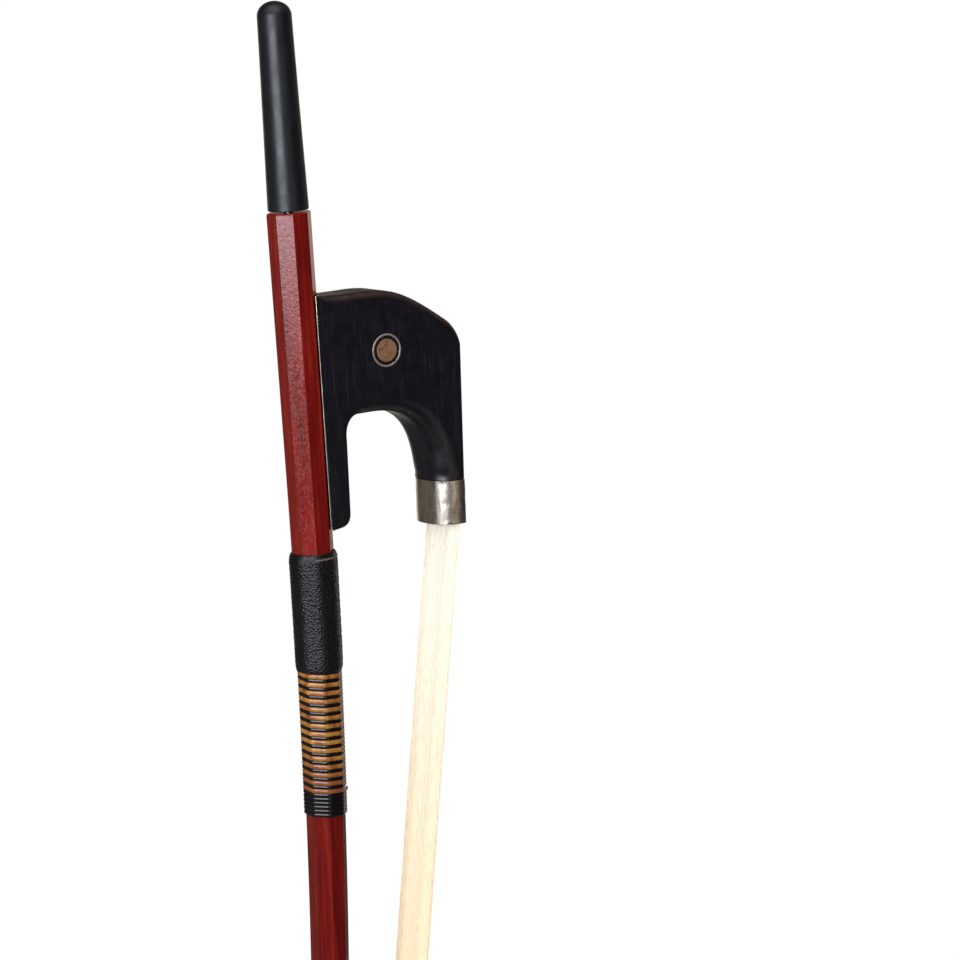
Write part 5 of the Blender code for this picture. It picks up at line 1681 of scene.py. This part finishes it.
@dataclass
class Studio:
    """A white lit table, a key and a fill over the bow's back, a dim room with cards, and the camera."""

    tilt: float = 0.630737676       # from straight above the bow's side towards its back, in radians
    turn: float = 0.190418062       # towards the button
    roll: float = 0.0622703442
    centre_px: tuple[float, float] = (288.4027, 211.68493)   # where the butt of the stick's axis falls
    distance: float = 0.970929
    focal_px: float = 3262.115
    sensor_mm: float = 36.0
    image_px: float = 960.0
    grip: float = 0.07              # where along the handle the lights aim
    table_half: float = 6.0
    table_drop: float = 0.00005
    cards: tuple[Card, ...] = (Card((-0.02, 0.80, -0.58), 0.12, 0.32, 0.8, "FFDCC8"),
                               Card((0.15, 0.30, -0.94), 0.26, 0.46, 0.90, "FFF3DF"),
                               Card((0.42, -0.72, -0.55), 0.30, 0.70, 0.09, "FFE6D2"),
                               Card((0.30, -0.01, 0.95), 0.20, 0.42, 0.66, "FFF1E0"),
                               Card((-0.90, -0.25, 0.40), 0.30, 0.80, 1.90, "FFE6DA"))

    def camera(self) -> None:
        """Place the camera from where the stick's butt falls in the picture."""
        u = Vector((1, 0, 0))
        right = Vector((0, math.cos(self.tilt), math.sin(self.tilt)))
        over = Vector((0, -math.sin(self.tilt), math.cos(self.tilt)))
        down = u * math.cos(self.turn) + over * math.sin(self.turn)
        out = over * math.cos(self.turn) - u * math.sin(self.turn)
        across = right * math.cos(self.roll) + down * math.sin(self.roll)
        below = down * math.cos(self.roll) - right * math.sin(self.roll)
        middle = self.image_px / 2
        off = [(c - middle) * self.distance / self.focal_px for c in self.centre_px]
        spot = out * self.distance - across * off[0] - below * off[1] + ORIGIN
        data = bpy.data.cameras.new("camera")
        data.sensor_width = self.sensor_mm
        data.lens = self.focal_px * self.sensor_mm / self.image_px
        data.clip_start = 0.05
        obj = bpy.data.objects.new("camera", data)
        turned_to = Matrix((across, -below, out)).transposed().to_4x4()
        obj.matrix_world = Matrix.Translation(spot) @ turned_to
        bpy.context.collection.objects.link(obj)
        bpy.context.scene.camera = obj

    def soft_box(self, name: str, direction: Vector, distance: float, size: tuple[float, float],
                 radiance: float, tone: str = "FFFFFF", in_gloss: bool = True) -> None:
        """Hang a soft box that faces the bow's grip.

        Args:
            name: The light's name.
            direction: From the grip towards the light.
            distance: From the grip, in metres.
            size: Its two sides in metres.
            radiance: How bright its face is.
            tone: Its colour.
            in_gloss: Whether glossy surfaces mirror it.
        """
        data = bpy.data.lights.new(name, 'AREA')
        data.shape = 'RECTANGLE'
        data.size, data.size_y = size
        data.energy = radiance * math.pi * size[0] * size[1]
        data.color = colour(tone)[:3]
        obj = bpy.data.objects.new(name, data)
        towards = direction.normalized()
        grip = Vector((self.grip, 0.0, 0.0)) + ORIGIN
        ahead = Vector((1, 0, 0))
        ahead = (ahead - towards * ahead.dot(towards)).normalized()
        facing = Matrix((ahead, towards.cross(ahead), towards)).transposed().to_4x4()
        obj.matrix_world = Matrix.Translation(grip + towards * distance) @ facing
        obj.visible_glossy = in_gloss
        bpy.context.collection.objects.link(obj)

    def table(self) -> None:
        """Lay a white table that glows evenly, so that it shows no shadow."""
        bm = bmesh.new()
        bmesh.ops.create_grid(bm, x_segments=1, y_segments=1, size=self.table_half)
        bmesh.ops.translate(bm, verts=bm.verts, vec=(0, 0, -self.table_drop))
        mesh = bpy.data.meshes.new("white_table")
        bm.to_mesh(mesh)
        bm.free()
        mat, _tree, shader = blank("white_lit_table", Roughness=0.9, Emission_Strength=1.0)
        shader.inputs["Base Color"].default_value = grey(0.02)
        shader.inputs["Specular IOR Level"].default_value = 0.0
        shader.inputs["Emission Color"].default_value = grey(1.0)
        mesh.materials.append(mat)
        obj = bpy.data.objects.new("white_table", mesh)
        bpy.context.collection.objects.link(obj)
        obj.visible_glossy = False
        obj.visible_diffuse = False

    def room(self) -> None:
        """A dim room, palest at the horizon, with the cards that metal and varnish mirror."""
        world = bpy.data.worlds.new("room")
        world.use_nodes = True
        bpy.context.scene.world = world
        tree = world.node_tree
        tree.nodes.clear()
        way = add(tree, "ShaderNodeTexCoord").outputs["Generated"]
        height = add(tree, "ShaderNodeSeparateXYZ", {0: way}).outputs[2]
        inputs = {"Value": height, "From Min": -1.0, "From Max": 1.0}
        share = add(tree, "ShaderNodeMapRange", inputs).outputs[0]
        stops = ((0.0, grey(0.08)), (0.40, grey(0.08)), (0.47, grey(0.20)), (0.50, grey(0.50)),
                 (0.56, grey(0.28)), (0.66, (0.06, 0.06, 0.08, 1.0)), (1.0, (0.02, 0.02, 0.035, 1.0)))
        lit = add(tree, "ShaderNodeValToRGB", {"Fac": share}, stops=stops).outputs["Color"]
        for card in self.cards:
            inputs = {0: way, 1: Vector(card.direction).normalized()}
            near = add(tree, "ShaderNodeVectorMath", inputs, operation='DOT_PRODUCT').outputs["Value"]
            inputs = {"Value": near, "From Min": math.cos(card.outer), "From Max": math.cos(card.inner)}
            glow = add(tree, "ShaderNodeMapRange", inputs, interpolation_type='SMOOTHSTEP').outputs[0]
            inputs = {0: glow, 6: lit, 7: tuple(card.radiance * c for c in colour(card.tone)[:3]) + (1.0,)}
            lit = add(tree, "ShaderNodeMix", inputs, data_type='RGBA', blend_type='ADD').outputs[2]
        air = add(tree, "ShaderNodeBackground", {"Color": lit, "Strength": 1.0}).outputs[0]
        add(tree, "ShaderNodeOutputWorld", {"Surface": air})

    def build(self) -> None:
        """Set up table, room, lights and camera."""
        bpy.context.scene.view_settings.view_transform = 'Standard'
        self.table()
        self.room()
        self.soft_box("key", Vector((-0.12, -0.82, 0.57)), 1.3, (0.56, 0.95), 9.4, "ECF3FF")
        self.soft_box("fill", Vector((-0.25, -0.80, 0.58)), 1.7, (1.2, 1.2), 2.8, in_gloss=False)
        self.camera()


def main() -> None:
    """Build the bow's sub-assemblies in order, then the studio, and note the sizes."""
    logging.basicConfig(level=logging.INFO, format="%(name)s: %(message)s")
    wardrobe = Wardrobe()
    head = HeadShape()
    shape = FrogShape()
    Stick(head).build(wardrobe)
    HeadFittings().build(wardrobe)
    Frog(shape).build(wardrobe)
    FrogFittings().build(wardrobe)
    Ferrule(shape).build(wardrobe)
    ScrewAndButton().build(wardrobe)
    ThumbLeather().build(wardrobe)
    Winding().build(wardrobe)
    HairRibbon(head, shape).build(wardrobe)
    Studio().build()


if __name__ == "__main__":
    main()
